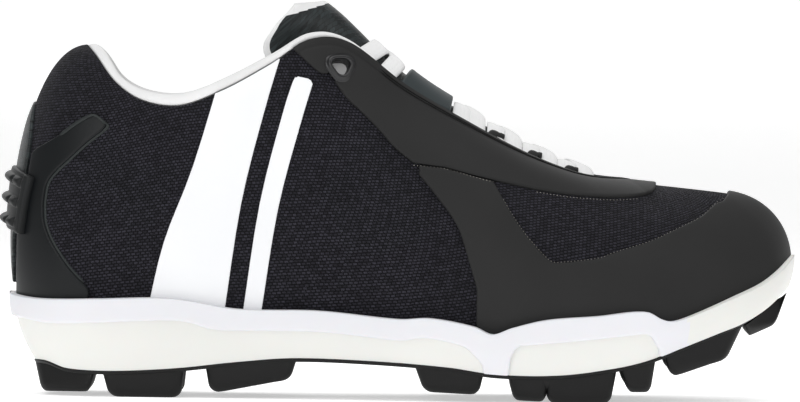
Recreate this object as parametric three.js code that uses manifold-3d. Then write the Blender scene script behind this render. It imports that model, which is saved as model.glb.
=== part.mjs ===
// Softball cleat, right foot: a hollow laced upper with smooth overlays on a three-piece midsole
// and a studded rubber outsole. Millimetres. +X points to the toe, +Y to the inner side, +Z up.
import * as THREE from 'three';
import { mergeVertices } from 'three/addons/utils/BufferGeometryUtils.js';
import Module from 'manifold-3d';

const wasm = await Module();
wasm.setup();

// Driving dimensions
const LENGTH = 285; // back of the heel to the tip of the toe
const HEEL_WIDTH = 66; // upper across the heel, where it meets the sole
const BALL_WIDTH = 96; // upper across the ball
const HEEL_STACK = 37; // floor to the sole's top edge at the heel
const HEEL_HEIGHT = 88.5; // sole's top edge to the top of the heel collar
const INSTEP_HEIGHT = 92.5; // the same to the top of the eyestay
const TOE_HEIGHT = 38; // the same to the top of the toe box
const WALL = 2; // upper, cloth and backing together
const OVERLAY = 1.2; // smooth overlays on the upper
const FILM = 0.6; // colour panel on the quarter
const GAP = 0.3; // clearance between neighbouring pieces
const LUG_HEIGHT = 10; // floor to the top of the outsole plate under the heel
const PLATE = 1.6; // outsole plate
const LOWER_STEP = 1.8; // how far the lower midsole parts stand back from the band
const RIM = 5; // how far the sole stands out from the foot of the upper
const TAPER = 5; // how far the sole's sides draw in from their top to the underside
const INSOLE = 3.5;
const COLLAR_PAD = 5; // padding inside the collar
const COLLAR_LIP = 4.6; // how far the padded lining stands above the upper's edge
const PIPING_PAD = 1.6; // padding where the lining runs on as a piping down the throat
const PIPING_LIP = 2.6;
const LINING_HEM = 0.8; // lining at its lower end, inside the upper
const TONGUE = 5;
const LACE_WIDTH = 6;
const LACE = 1.7;
const KEEPER = 2.8; // slab on the tongue that holds the lace down
const RIB_BASE = 1; // plate of the heel piece
const RIB_RISE = 2.6; // its ribs
const RIB_BAR = 1.2; // its upright bars
const EYELET = 3.2; // half width of the hole in the top eyelet
const GROMMET_RIM = 2.4;
const GROMMET = 1.6; // height of the grommet over the eyestay

// Ribs of the upper from the heel's centre line to the toe's. at, out and inn place the foot of a
// rib along the length and to the outer and inner side; top, topOut, topInn and rise place its
// upper end; belly and roll are how far the rib's lower and upper handles stand outwards, and drop
// is how far the upper handle hangs below the end. Widths are shares of wide, heights of tall.
const heelRibs = [
  { at: 0.0245, out: 0, inn: 0, belly: 0.114,
    top: 0.105, topOut: 0, topInn: 0, rise: 0.998, roll: 0.32, drop: 0.016 },
  { at: 0.032, out: 0.242, inn: 0.242, belly: 0.125,
    top: 0.1175, topOut: 0.19, topInn: 0.19, rise: 0.955, roll: 0.26, drop: 0.04 },
  { at: 0.07, out: 0.424, inn: 0.424, belly: 0.1,
    top: 0.144, topOut: 0.326, topInn: 0.326, rise: 0.847, roll: 0.155, drop: 0.09 },
  { at: 0.133, out: 0.492, inn: 0.485, belly: 0.076,
    top: 0.179, topOut: 0.4, topInn: 0.395, rise: 0.774, roll: 0.09, drop: 0.17 },
  { at: 0.21, out: 0.5, inn: 0.47, belly: 0.068,
    top: 0.226, topOut: 0.44, topInn: 0.43, rise: 0.757, roll: 0.068, drop: 0.24 },
];
const instepRibs = [
  { at: 0.288, out: 0.3385, inn: 0.307, belly: 0.052,
    top: 0.281, topOut: 0.307, topInn: 0.297, rise: 0.789, roll: 0.047, drop: 0.25 },
  { at: 0.365, out: 0.344, inn: 0.292, belly: 0.0625,
    top: 0.337, topOut: 0.297, topInn: 0.286, rise: 0.886, roll: 0.0625, drop: 0.27 },
  { at: 0.442, out: 0.365, inn: 0.297, belly: 0.073,
    top: 0.386, topOut: 0.276, topInn: 0.266, rise: 0.982, roll: 0.094, drop: 0.27 },
  { at: 0.519, out: 0.406, inn: 0.333, belly: 0.078,
    top: 0.435, topOut: 0.234, topInn: 0.229, rise: 0.968, roll: 0.135, drop: 0.23 },
  { at: 0.5965, out: 0.443, inn: 0.39, belly: 0.078,
    top: 0.505, topOut: 0.203, topInn: 0.198, rise: 0.805, roll: 0.167, drop: 0.135 },
  { at: 0.6735, out: 0.469, inn: 0.4375, belly: 0.073,
    top: 0.5825, topOut: 0.187, topInn: 0.187, rise: 0.665, roll: 0.208, drop: 0.093 },
  { at: 0.747, out: 0.474, inn: 0.453, belly: 0.0625,
    top: 0.66, topOut: 0.156, topInn: 0.193, rise: 0.541, roll: 0.229, drop: 0.052 },
  { at: 0.8175, out: 0.448, inn: 0.453, belly: 0.057,
    top: 0.726, topOut: 0.109, topInn: 0.167, rise: 0.467, roll: 0.25, drop: 0.026 },
];
const toeRibs = [
  { at: 0.881, out: 0.385, inn: 0.427, belly: 0.052,
    top: 0.7755, topOut: -0.031, topInn: 0.031, rise: 1.092, roll: 0.3125, drop: 0.012 },
  { at: 0.933, out: 0.281, inn: 0.365, belly: 0.052,
    top: 0.828, topOut: -0.047, topInn: 0.047, rise: 1.053, roll: 0.25, drop: 0.01 },
  { at: 0.972, out: 0.135, inn: 0.26, belly: 0.052,
    top: 0.87, topOut: -0.057, topInn: 0.057, rise: 1.016, roll: 0.24, drop: -0.012 },
  { at: 0.986, out: -0.073, inn: 0.073, belly: 0.052,
    top: 0.891, topOut: -0.0625, topInn: 0.0625, rise: 0.99, roll: 0.26, drop: -0.033 },
];
const LIFT = 0.33; // height of the lower handle as a share of the rib's height
const ribs = [
  ...heelRibs.map((rib) => ({ ...rib, wide: HEEL_WIDTH, tall: HEEL_HEIGHT })),
  ...instepRibs.map((rib) => ({ ...rib, wide: BALL_WIDTH, tall: INSTEP_HEIGHT })),
  ...toeRibs.map((rib) => ({ ...rib, wide: BALL_WIDTH, tall: TOE_HEIGHT })),
];
const TOE = ribs.length - 1;
const THROAT = TOE - 3; // the rib at the front end of the throat
const AROUND = 2 * TOE;

// Side lines of the sole. at is a share of the length, up a share of the heel stack or lug height.
const edgeRows = [
  { at: 0, up: 1.06 }, { at: 0.018, up: 1.01 }, { at: 0.05, up: 0.983 }, { at: 0.12, up: 0.99 },
  { at: 0.2, up: 1.008 }, { at: 0.235, up: 0.988 }, { at: 0.3, up: 0.908 }, { at: 0.4, up: 0.9 },
  { at: 0.5, up: 0.832 }, { at: 0.54, up: 0.845 }, { at: 0.595, up: 0.77 }, { at: 0.617, up: 0.7 },
  { at: 0.642, up: 0.765 }, { at: 0.685, up: 0.846 }, { at: 0.75, up: 0.89 }, { at: 0.809, up: 0.935 },
  { at: 0.83, up: 0.86 }, { at: 0.845, up: 0.845 }, { at: 0.87, up: 0.905 }, { at: 0.925, up: 1.084 },
  { at: 0.958, up: 1.2 }, { at: 0.982, up: 1.33 }, { at: 1, up: 1.465 },
];
const footbedRows = [
  { at: 0, up: 0.86 }, { at: 0.2, up: 0.84 }, { at: 0.35, up: 0.76 }, { at: 0.5, up: 0.685 },
  { at: 0.617, up: 0.66 }, { at: 0.66, up: 0.69 }, { at: 0.72, up: 0.715 }, { at: 0.8, up: 0.745 },
  { at: 0.86, up: 0.8 }, { at: 0.93, up: 0.93 }, { at: 0.975, up: 1.12 }, { at: 1, up: 1.24 },
];
const undersideRows = [
  { at: 0, up: 1.3 }, { at: 0.035, up: 1.3 }, { at: 0.075, up: 1.06 }, { at: 0.14, up: 0.99 },
  { at: 0.225, up: 1.12 }, { at: 0.3, up: 1.36 }, { at: 0.37, up: 1.52 }, { at: 0.47, up: 1.45 },
  { at: 0.56, up: 1.28 }, { at: 0.62, up: 1.06 }, { at: 0.7, up: 1.06 }, { at: 0.775, up: 1.34 },
  { at: 0.82, up: 1.64 }, { at: 0.86, up: 2.06 }, { at: 0.91, up: 2.6 }, { at: 0.94, up: 2.93 },
  { at: 0.97, up: 3.45 }, { at: 1, up: 4.2 },
];
// Shares of the sole's rim and of its taper.
const soleRows = [
  { at: 0, rim: 0.74, taper: 1.6 }, { at: 0.06, rim: 0.8, taper: 1.3 }, { at: 0.2, rim: 0.92, taper: 1 },
  { at: 0.45, rim: 1, taper: 0.9 }, { at: 0.7, rim: 1.04, taper: 0.9 }, { at: 0.88, rim: 0.96, taper: 0.8 },
  { at: 1, rim: 0.76, taper: 0.3 },
];

// A smooth curve through one column of a table whose rows are placed by the column at.
function along(rows, column) {
  const slope = (row) => {
    const before = rows[Math.max(row - 1, 0)];
    const after = rows[Math.min(row + 1, rows.length - 1)];
    return (after[column] - before[column]) / (after.at - before.at);
  };
  return (at) => {
    const place = THREE.MathUtils.clamp(at, rows[0].at, rows.at(-1).at);
    const row = Math.max(rows.findIndex((entry) => entry.at >= place), 1);
    const before = rows[row - 1];
    const after = rows[row];
    const span = after.at - before.at;
    const t = (place - before.at) / span;
    const start = (1 + 2 * t) * (1 - t) ** 2 * before[column] + t * (1 - t) ** 2 * span * slope(row - 1);
    return start + t * t * (3 - 2 * t) * after[column] + t * t * (t - 1) * span * slope(row);
  };
}
const edgeUp = along(edgeRows, 'up');
const footbedUp = along(footbedRows, 'up');
const undersideUp = along(undersideRows, 'up');
const rimShare = along(soleRows, 'rim');
const taperShare = along(soleRows, 'taper');
const edgeHeight = (x) => HEEL_STACK * edgeUp(x / LENGTH);
const footbed = (x) => HEEL_STACK * footbedUp(x / LENGTH);
const underside = (x) => LUG_HEIGHT * undersideUp(x / LENGTH);

// Closed curve through one point for each rib: outer side from heel to toe, then the inner side back.
function loopOf(pointOf, last) {
  const points = [];
  for (let row = 0; row <= last; row += 1) points.push(pointOf(ribs[row], -1, row));
  for (let row = last - 1; row > 0; row -= 1) points.push(pointOf(ribs[row], 1, AROUND - row));
  return new THREE.CatmullRomCurve3(points, true, 'catmullrom', 0.5);
}
const around = (place, count) => THREE.MathUtils.euclideanModulo(place / count, 1);
const pointOn = (curve, place) => curve.getPoint(around(place, curve.points.length));

const footPoint = (rib, side) => {
  const x = rib.at * LENGTH;
  return new THREE.Vector3(x, side * rib.wide * (side < 0 ? rib.out : rib.inn), footbed(x) + GAP);
};
const topPoint = (rib, side) => new THREE.Vector3(
  rib.top * LENGTH,
  side * rib.wide * (side < 0 ? rib.topOut : rib.topInn),
  HEEL_STACK + rib.rise * rib.tall,
);
const footLoop = loopOf(footPoint, TOE);
const outward = (place) => {
  const way = footLoop.getTangent(around(place, AROUND));
  return new THREE.Vector3(way.y, -way.x, 0).normalize();
};
const lowHandleLoop = loopOf((rib, side, place) => {
  const foot = footPoint(rib, side);
  const height = topPoint(rib, side).z - foot.z;
  return foot.addScaledVector(outward(place), rib.belly * rib.wide).setZ(foot.z + LIFT * height);
}, TOE);
const highHandleLoop = loopOf((rib, side, place) => {
  const top = topPoint(rib, side);
  return top.addScaledVector(outward(place), rib.roll * rib.wide).setZ(top.z - rib.drop * rib.tall);
}, TOE);
const toplineLoop = loopOf(topPoint, THROAT);
const ridge = new THREE.CatmullRomCurve3(
  ribs.slice(THROAT).map((rib) => topPoint(rib, 1)), false, 'catmullrom', 0.5,
);

const onRidge = (place) => place >= THROAT && place <= AROUND - THROAT;
function topOf(place) {
  if (place < THROAT) return pointOn(toplineLoop, place);
  if (place > AROUND - THROAT) return pointOn(toplineLoop, place - AROUND + 2 * THROAT);
  const rib = Math.min(place, AROUND - place);
  return ridge.getPoint((rib - THROAT) / (TOE - THROAT));
}

// The upper's outer face: place runs once round the ribs, up from 0 at the sole to 1 at the edge.
function face(place, up) {
  const spot = THREE.MathUtils.euclideanModulo(place, AROUND);
  const down = 1 - up;
  return pointOn(footLoop, spot).multiplyScalar(down ** 3)
    .addScaledVector(pointOn(lowHandleLoop, spot), 3 * up * down ** 2)
    .addScaledVector(pointOn(highHandleLoop, spot), 3 * up ** 2 * down)
    .addScaledVector(topOf(spot), up ** 3);
}
const NUDGE = 0.02;
function faceNormal(place, up) {
  const level = THREE.MathUtils.clamp(up, NUDGE, 1 - NUDGE);
  const across = face(place + NUDGE, level).sub(face(place - NUDGE, level));
  const upward = face(place, level + NUDGE).sub(face(place, level - NUDGE));
  const normal = across.cross(upward).normalize();
  return normal;
}
function skin(place, up, offset) {
  const normal = faceNormal(place, up);
  if (up > 1 - NUDGE && onRidge(place)) normal.add(faceNormal(AROUND - place, up)).normalize();
  return face(place, up).addScaledVector(normal, offset);
}

// Stations round the shoe, closer together where heel and toe turn.
const stations = [];
for (let rib = 0; rib < TOE; rib += 1) {
  const steps = rib < 2 || rib >= THROAT ? 3 : 2;
  for (let step = 0; step < steps; step += 1) stations.push(rib + step / steps);
}
stations.push(TOE);
const ring = [...stations, ...stations.slice(1, -1).reverse().map((place) => AROUND - place)];
const LEVELS = [0, 0.12, 0.28, 0.46, 0.64, 0.82, 1];

// A closed mesh from a list of triangles, each of three points, turned to face outwards.
function solidOf(triangles) {
  const corners = new Float32Array(triangles.flat().flatMap((point) => [point.x, point.y, point.z]));
  const soup = new THREE.BufferGeometry();
  soup.setAttribute('position', new THREE.BufferAttribute(corners, 3));
  return solidFrom(soup);
}
function solidFrom(geometry) {
  const bare = geometry.clone();
  bare.deleteAttribute('normal');
  bare.deleteAttribute('uv');
  const merged = mergeVertices(bare, 1e-3);
  const spots = merged.attributes.position.array;
  const corners = [];
  let volume = 0;
  for (let i = 0; i < merged.index.count; i += 3) {
    const [a, b, c] = [0, 1, 2].map((k) => merged.index.getX(i + k));
    if (a === b || b === c || c === a) continue;
    corners.push(a, b, c);
    const [p, q, r] = [a, b, c].map((k) => new THREE.Vector3().fromArray(spots, 3 * k));
    volume += p.dot(q.cross(r));
  }
  if (volume < 0) corners.reverse();
  return new wasm.Manifold(new wasm.Mesh({
    numProp: 3, vertProperties: new Float32Array(spots), triVerts: new Uint32Array(corners),
  }));
}
function quad(list, a, b, c, d) {
  list.push([a, b, c], [a, c, d]);
}
function strip(list, low, high, keep = () => true) {
  for (let i = 0; i < low.length; i += 1) {
    const next = (i + 1) % low.length;
    if (keep(i, next)) quad(list, low[i], low[next], high[next], high[i]);
  }
}
// The same strip facing inwards, with its quads split along the same diagonal
function backStrip(list, low, high) {
  const facing = [];
  strip(facing, low, high);
  list.push(...facing.map((triangle) => triangle.reverse()));
}
// Closes a ring by rungs from its outer side to its inner side.
function rungs(list, loop, flip) {
  const half = loop.length / 2;
  for (let i = 0; i < half; i += 1) {
    const [a, b] = [loop[i], loop[i + 1]];
    const [c, d] = [loop[loop.length - i - 1], loop[(loop.length - i) % loop.length]];
    if (flip) quad(list, d, c, b, a);
    else quad(list, a, b, c, d);
  }
}

// Layer of the upper between two offsets of its outer face, open at throat, collar and bottom.
function layer(low, high, levels = LEVELS) {
  const outer = levels.map((up) => ring.map((place) => skin(place, up, high)));
  const inner = levels.map((up) => ring.map((place) => skin(place, up, low)));
  const list = [];
  for (let i = 1; i < levels.length; i += 1) {
    strip(list, outer[i - 1], outer[i]);
    backStrip(list, inner[i - 1], inner[i]);
  }
  strip(list, inner[0], outer[0]);
  strip(list, outer.at(-1), inner.at(-1), (i, next) => !(onRidge(ring[i]) && onRidge(ring[next])));
  return solidOf(list);
}
// Stack of rings, closed at both ends by rungs.
function stack(rings) {
  const list = [];
  for (let i = 1; i < rings.length; i += 1) strip(list, rings[i - 1], rings[i]);
  rungs(list, rings[0], true);
  rungs(list, rings.at(-1), false);
  return solidOf(list);
}
// Thick patch of a surface: point(a, b, offset) with a from 0 to 1 along it and b from -1 to 1 across.
function patch(point, alongCount, acrossCount, low, high) {
  const grid = (offset) => Array.from({ length: alongCount + 1 }, (_, i) => (
    Array.from({ length: acrossCount + 1 }, (__, j) => {
      const a = i / alongCount;
      const b = -1 + (2 * j) / acrossCount;
      return point(a, b, offset(a, b));
    })
  ));
  const [under, over] = [grid(low), grid(high)];
  const list = [];
  for (let i = 0; i < alongCount; i += 1) {
    for (let j = 0; j < acrossCount; j += 1) {
      quad(list, over[i][j], over[i + 1][j], over[i + 1][j + 1], over[i][j + 1]);
      const facing = [];
      quad(facing, under[i][j], under[i + 1][j], under[i + 1][j + 1], under[i][j + 1]);
      list.push(...facing.map((triangle) => triangle.reverse()));
    }
    const end = acrossCount;
    quad(list, under[i][0], under[i + 1][0], over[i + 1][0], over[i][0]);
    quad(list, over[i][end], over[i + 1][end], under[i + 1][end], under[i][end]);
  }
  const [overEnd, underEnd] = [over[alongCount], under[alongCount]];
  for (let j = 0; j < acrossCount; j += 1) {
    quad(list, over[0][j], over[0][j + 1], under[0][j + 1], under[0][j]);
    quad(list, underEnd[j], underEnd[j + 1], overEnd[j + 1], overEnd[j]);
  }
  return solidOf(list);
}

// Shape drawn in the side view and pushed through the shoe from one side to the other.
const REACH = BALL_WIDTH;
const SOLE_END = 0.02; // how far the sole's side view runs past heel and toe, as a share of the length
function throughSide(points, from = -REACH, to = REACH) {
  const block = new THREE.ExtrudeGeometry(new THREE.Shape(points), { depth: to - from, bevelEnabled: false });
  block.rotateX(Math.PI / 2);
  block.translate(0, to, 0);
  return solidFrom(block);
}
const smooth = (points, count) => new THREE.SplineCurve(points).getPoints(count);
const spot = (at, up, tall) => new THREE.Vector2(at * LENGTH, HEEL_STACK + up * tall);
const spots = (rows, tall) => rows.map((row) => spot(row.at, row.up, tall));
// A line of the sole in the side view, run on past heel and toe
function linePoints(rows, heightAt) {
  const places = [-SOLE_END, ...rows.map((row) => row.at), 1 + SOLE_END];
  return places.map((at) => new THREE.Vector2(at * LENGTH, heightAt(at * LENGTH)));
}
// The sole's top edge between two places, as the lower border of an overlay.
function soleBorder(from, to) {
  const inside = edgeRows.map((row) => row.at).filter((at) => at > from && at < to);
  return [from, ...inside, to].map((at) => new THREE.Vector2(at * LENGTH, edgeHeight(at * LENGTH) + GAP));
}

const group = new THREE.Group();
function add(name, solid, colour, roughness) {
  const { vertProperties, triVerts } = solid.getMesh();
  const geometry = new THREE.BufferGeometry();
  geometry.setAttribute('position', new THREE.BufferAttribute(vertProperties, 3));
  geometry.setIndex(new THREE.BufferAttribute(triVerts, 1));
  geometry.computeVertexNormals();
  const material = new THREE.MeshStandardMaterial({ color: colour, roughness, metalness: 0 });
  const mesh = new THREE.Mesh(geometry, material);
  mesh.name = name;
  group.add(mesh);
}

// Upper, with a hole through it at the top eyelet of each side
const eyeletCentre = spot(0.424, 0.877, INSTEP_HEIGHT);
function eyeletOutline(radius) {
  const count = 12;
  return Array.from({ length: count }, (_, i) => {
    const turn = (2 * Math.PI * i) / count;
    const reach = radius * (1 + 0.1 * Math.cos(3 * turn));
    return new THREE.Vector2(reach * Math.cos(turn), reach * Math.sin(turn)).add(eyeletCentre);
  });
}
const eyeletHole = throughSide(eyeletOutline(EYELET));
add('upper', layer(-WALL, 0).subtract(eyeletHole), '#1c1b22', 0.9);

// Sole: a block whose sides draw in from the top edge, share 1, to the underside, share 0, cut
// between two lines of the side view
const TAPER_CURVE = 2.2;
function soleRing(share, step) {
  return ring.map((place) => {
    const foot = pointOn(footLoop, place);
    const rim = RIM * rimShare(foot.x / LENGTH);
    const edge = foot.clone().addScaledVector(outward(place), rim);
    const low = underside(edge.x);
    const taper = TAPER * taperShare(foot.x / LENGTH);
    const inset = step + taper * Math.max(1 - share, 0) ** TAPER_CURVE;
    return foot.addScaledVector(outward(place), rim - inset).setZ(low + share * (edgeHeight(edge.x) - low));
  });
}
const SOLE_SHARES = [-0.3, 0.2, 0.6, 1, 1.3];
const soleBlock = (step) => stack(SOLE_SHARES.map((share) => soleRing(share, step)));
// Side view between two lines, each with a point for each row of its table
function between(lowRows, lowLine, highRows, highLine) {
  return throughSide([...linePoints(lowRows, lowLine), ...linePoints(highRows, highLine).reverse()]);
}
const soleView = between(undersideRows, underside, edgeRows, edgeHeight);
const soleBody = (step) => soleBlock(step).intersect(soleView);

// Room that the upper takes in the sole, down to the footbed
function footSpace() {
  const floor = ring.map((place) => {
    const point = skin(place, 0, GAP);
    return point.setZ(point.z - GAP);
  });
  return stack([floor, ...LEVELS.slice(0, 4).map((up) => ring.map((place) => skin(place, up, GAP)))]);
}

// Side view of the two lower parts: under heel and arch, and over the forefoot lugs. up is a share
// of the heel stack above the floor.
const rearRows = [
  { at: -0.02, up: 0.775 }, { at: 0.026, up: 0.74 }, { at: 0.058, up: 0.703 }, { at: 0.102, up: 0.708 },
  { at: 0.207, up: 0.746 }, { at: 0.242, up: 0.722 }, { at: 0.276, up: 0.657 }, { at: 0.375, up: 0.654 },
  { at: 0.433, up: 0.632 }, { at: 0.5, up: 0.578 }, { at: 0.531, up: 0.611 }, { at: 0.56, up: 0.576 },
  { at: 0.582, up: 0.53 }, { at: 0.596, up: 0.435 }, { at: 0.605, up: 0.33 }, { at: 0.609, up: 0.1 },
];
const foreRows = [
  { at: 0.637, up: 0.1 }, { at: 0.639, up: 0.295 }, { at: 0.6425, up: 0.457 }, { at: 0.651, up: 0.546 },
  { at: 0.665, up: 0.557 }, { at: 0.704, up: 0.586 }, { at: 0.773, up: 0.643 }, { at: 0.803, up: 0.673 },
  { at: 0.8145, up: 0.657 }, { at: 0.8225, up: 0.56 }, { at: 0.827, up: 0.47 }, { at: 0.8275, up: 0.1 },
];
const soleSpot = (row) => new THREE.Vector2(row.at * LENGTH, row.up * HEEL_STACK);
const rearLine = smooth(rearRows.map(soleSpot), 30);
const foreLine = smooth(foreRows.map(soleSpot), 24);
const rearArea = [...rearLine, new THREE.Vector2(rearLine[0].x, rearLine.at(-1).y)];
const foreMiddle = (foreLine[0].x + foreLine.at(-1).x) / 2;
const foreReach = (foreLine.at(-1).x - foreLine[0].x) / 2;
const rearSeat = rearArea.map((point) => new THREE.Vector2(point.x - GAP, point.y - GAP));
const foreSeat = foreLine.map((point) => new THREE.Vector2(
  foreMiddle + (point.x - foreMiddle) * (1 - GAP / foreReach), point.y - GAP,
));
const lowerParts = throughSide(rearArea).add(throughSide(foreLine));
add('midsole_frame', soleBody(0).subtract(footSpace()).subtract(lowerParts), '#ececf2', 0.5);
add('midsole_rear', soleBody(LOWER_STEP).intersect(throughSide(rearSeat)), '#f0f1ec', 0.45);
add('midsole_fore', soleBody(LOWER_STEP).intersect(throughSide(foreSeat)), '#f0f1ec', 0.45);

// Outsole: a plate under the midsole and lugs along its edges
const PLATE_INSET = 0.4;
const LUG_INSET = 1;
const plateLow = (x) => underside(x) - GAP - PLATE;
const plateRing = (drop, draw) => soleRing(0, draw + PLATE_INSET).map((point) => point.setZ(point.z - drop));
const plateBottom = plateRing(2 * PLATE, 1);
const plateBlock = stack([plateBottom, plateRing(-PLATE, 0)]);
const plateHigh = (x) => underside(x) - GAP;
const plate = plateBlock.intersect(between(undersideRows, plateLow, undersideRows, plateHigh));
function plateEdge(x, side) {
  const half = plateBottom.length / 2;
  const outer = plateBottom.slice(0, half + 1);
  const edge = side < 0 ? outer : [plateBottom[0], ...plateBottom.slice(half).reverse()];
  const next = Math.min(Math.max(edge.findIndex((point) => point.x > x), 1), edge.length - 1);
  const [before, after] = [edge[next - 1], edge[next]];
  const share = THREE.MathUtils.clamp((x - before.x) / (after.x - before.x), 0, 1);
  return THREE.MathUtils.lerp(before.y, after.y, share) - side * LUG_INSET;
}
// Lugs: root and tip ends along the length, tip heights at the rear and front as shares of the lug
// height, and the sides they stand on; a middle lug runs from one side to the other.
const lugRows = [
  { from: 0.045, to: 0.122, tipFrom: 0.054, tipTo: 0.115, rear: 0.12, front: 0.16, middle: true },
  { from: 0.131, to: 0.234, tipFrom: 0.14, tipTo: 0.23, rear: 0, front: 0, middle: false },
  { from: 0.26, to: 0.375, tipFrom: 0.266, tipTo: 0.366, rear: 0.21, front: 0.64, middle: false },
  { from: 0.521, to: 0.608, tipFrom: 0.534, tipTo: 0.602, rear: 0.32, front: 0.27, middle: false },
  { from: 0.639, to: 0.69, tipFrom: 0.645, tipTo: 0.685, rear: 0.08, front: 0.05, middle: false },
  { from: 0.684, to: 0.774, tipFrom: 0.688, tipTo: 0.766, rear: 0, front: 0, middle: false },
  { from: 0.777, to: 0.822, tipFrom: 0.788, tipTo: 0.816, rear: 0.42, front: 0.42, middle: false },
  { from: 0.833, to: 0.931, tipFrom: 0.84, tipTo: 0.91, rear: 1.02, front: 1.5, middle: false },
  { from: 0.934, to: 0.99, tipFrom: 0.939, tipTo: 0.974, rear: 2.42, front: 2.75, middle: true },
];
const LUG_REACH = 0.45; // inner end of a side lug as a share of the way to the plate's edge
const LUG_DRAFT = 2.2; // how far the tip stands in from the root across the shoe
const BEVEL = 0.22; // corner cut as a share of a lug's sides
function lugOutline(from, to, lug, side, draw, heightAt) {
  const reach = lug.middle ? (x) => plateEdge(x, -side) : (x) => LUG_REACH * plateEdge(x, side);
  const corners = [[from, 0], [to, 0], [to, 1], [from, 1]].map(([at, inner]) => {
    const x = at * LENGTH;
    const y = inner ? reach(x) + side * draw : plateEdge(x, side) - side * draw;
    return new THREE.Vector3(x, y, 0);
  });
  return corners.flatMap((corner, i) => [
    corner.clone().lerp(corners[(i + 3) % 4], BEVEL), corner.clone().lerp(corners[(i + 1) % 4], BEVEL),
  ]).map((point) => point.setZ(heightAt(point.x)));
}
function lugOf(lug, side) {
  const rootHeight = (x) => underside(x) - GAP - PLATE / 2;
  const tipHeight = (x) => LUG_HEIGHT * THREE.MathUtils.mapLinear(
    x / LENGTH, lug.tipFrom, lug.tipTo, lug.rear, lug.front,
  );
  const root = lugOutline(lug.from, lug.to, lug, side, 0, rootHeight);
  const tip = lugOutline(lug.tipFrom, lug.tipTo, lug, side, LUG_DRAFT, tipHeight);
  const list = [];
  strip(list, tip, root);
  for (let i = 2; i < root.length; i += 1) {
    list.push([root[0], root[i - 1], root[i]], [tip[0], tip[i], tip[i - 1]]);
  }
  return solidOf(list);
}
let outsole = plate;
lugRows.forEach((lug) => {
  (lug.middle ? [-1] : [-1, 1]).forEach((side) => {
    outsole = outsole.add(lugOf(lug, side));
  });
});
add('outsole', outsole, '#202020', 0.6);

// Insole, on the footbed inside the wall
const insoleRing = (rise) => ring.map((place) => pointOn(footLoop, place)
  .addScaledVector(outward(place), -WALL - 2 * GAP).add(new THREE.Vector3(0, 0, rise)));
add('insole', stack([insoleRing(0), insoleRing(INSOLE)]), '#2a2b2e', 0.95);

// Overlays, each cut from a thin layer over the upper by its outline in the side view
const overlay = layer(GAP, GAP + OVERLAY);
const HIGH = 1.8; // above everything, as a share of the instep height
const seamRows = [
  { at: 0.516, up: 0.507 }, { at: 0.556, up: 0.495 }, { at: 0.592, up: 0.465 }, { at: 0.617, up: 0.4465 },
];
const vampRows = [
  { at: 0.629, up: 0.382 }, { at: 0.641, up: 0.32 }, { at: 0.6575, up: 0.2475 }, { at: 0.676, up: 0.183 },
  { at: 0.69, up: 0.145 }, { at: 0.705, up: 0.1416 }, { at: 0.749, up: 0.158 }, { at: 0.7667, up: 0.178 },
  { at: 0.813, up: 0.2227 }, { at: 0.8446, up: 0.266 }, { at: 0.877, up: 0.3135 }, { at: 0.896, up: 0.361 },
  { at: 0.912, up: 0.392 }, { at: 0.93, up: 0.55 },
];
const guardRearRows = [
  { at: 0.598, up: 0.04 }, { at: 0.588, up: 0.1395 }, { at: 0.573, up: 0.2746 }, { at: 0.546, up: 0.39 },
  { at: 0.523, up: 0.4746 },
];
const BEYOND = 1.1; // past the toe, as a share of the length
const mudguardArea = [
  ...soleBorder(0.598, 1), spot(BEYOND, 0.3, INSTEP_HEIGHT), spot(BEYOND, 0.55, INSTEP_HEIGHT),
  ...smooth(spots(vampRows, INSTEP_HEIGHT), 24).reverse(), ...spots(seamRows, INSTEP_HEIGHT).reverse(),
  ...smooth(spots(guardRearRows, INSTEP_HEIGHT), 10).reverse(),
];
add('mudguard', overlay.intersect(throughSide(mudguardArea)), '#3a3a3a', 0.7);

const eyestayRearRows = [
  { at: 0.5175, up: 0.5135 }, { at: 0.493, up: 0.573 }, { at: 0.474, up: 0.638 }, { at: 0.4505, up: 0.71 },
  { at: 0.4316, up: 0.763 }, { at: 0.4105, up: 0.8486 }, { at: 0.398, up: 0.858 }, { at: 0.366, up: 0.945 },
  { at: 0.35, up: 1 },
];
const eyestayFrontRows = [
  { at: 0.67, up: 0.414 }, { at: 0.709, up: 0.3957 }, { at: 0.748, up: 0.386 }, { at: 0.7744, up: 0.3838 },
  { at: 0.798, up: 0.388 }, { at: 0.818, up: 0.404 }, { at: 0.825, up: 0.45 },
];
const raised = (points) => points.map((point) => new THREE.Vector2(point.x, point.y + 2 * GAP));
const eyestayArea = [
  ...smooth(spots(eyestayRearRows, INSTEP_HEIGHT), 16).reverse(),
  ...raised(spots(seamRows, INSTEP_HEIGHT)).slice(1),
  ...smooth(spots(eyestayFrontRows, INSTEP_HEIGHT), 10),
  spot(0.825, HIGH, INSTEP_HEIGHT), spot(0.35, HIGH, INSTEP_HEIGHT),
];
add('eyestay', overlay.intersect(throughSide(eyestayArea)).subtract(eyeletHole), '#3a3a3a', 0.7);

const backLineRows = [
  { at: 0.0214, up: 0.226 }, { at: 0.03, up: 0.373 }, { at: 0.039, up: 0.565 }, { at: 0.043, up: 0.75 },
  { at: 0.0475, up: 0.84 },
];
const backArea = [
  new THREE.Vector2(-0.1 * LENGTH, edgeHeight(0) + GAP),
  new THREE.Vector2(0.0214 * LENGTH, edgeHeight(0) + GAP),
  ...smooth(spots(backLineRows, HEEL_HEIGHT), 10), spot(-0.1, 0.84, HEEL_HEIGHT),
];
add('backstay', overlay.intersect(throughSide(backArea)), '#333a3a', 0.5);

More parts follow.
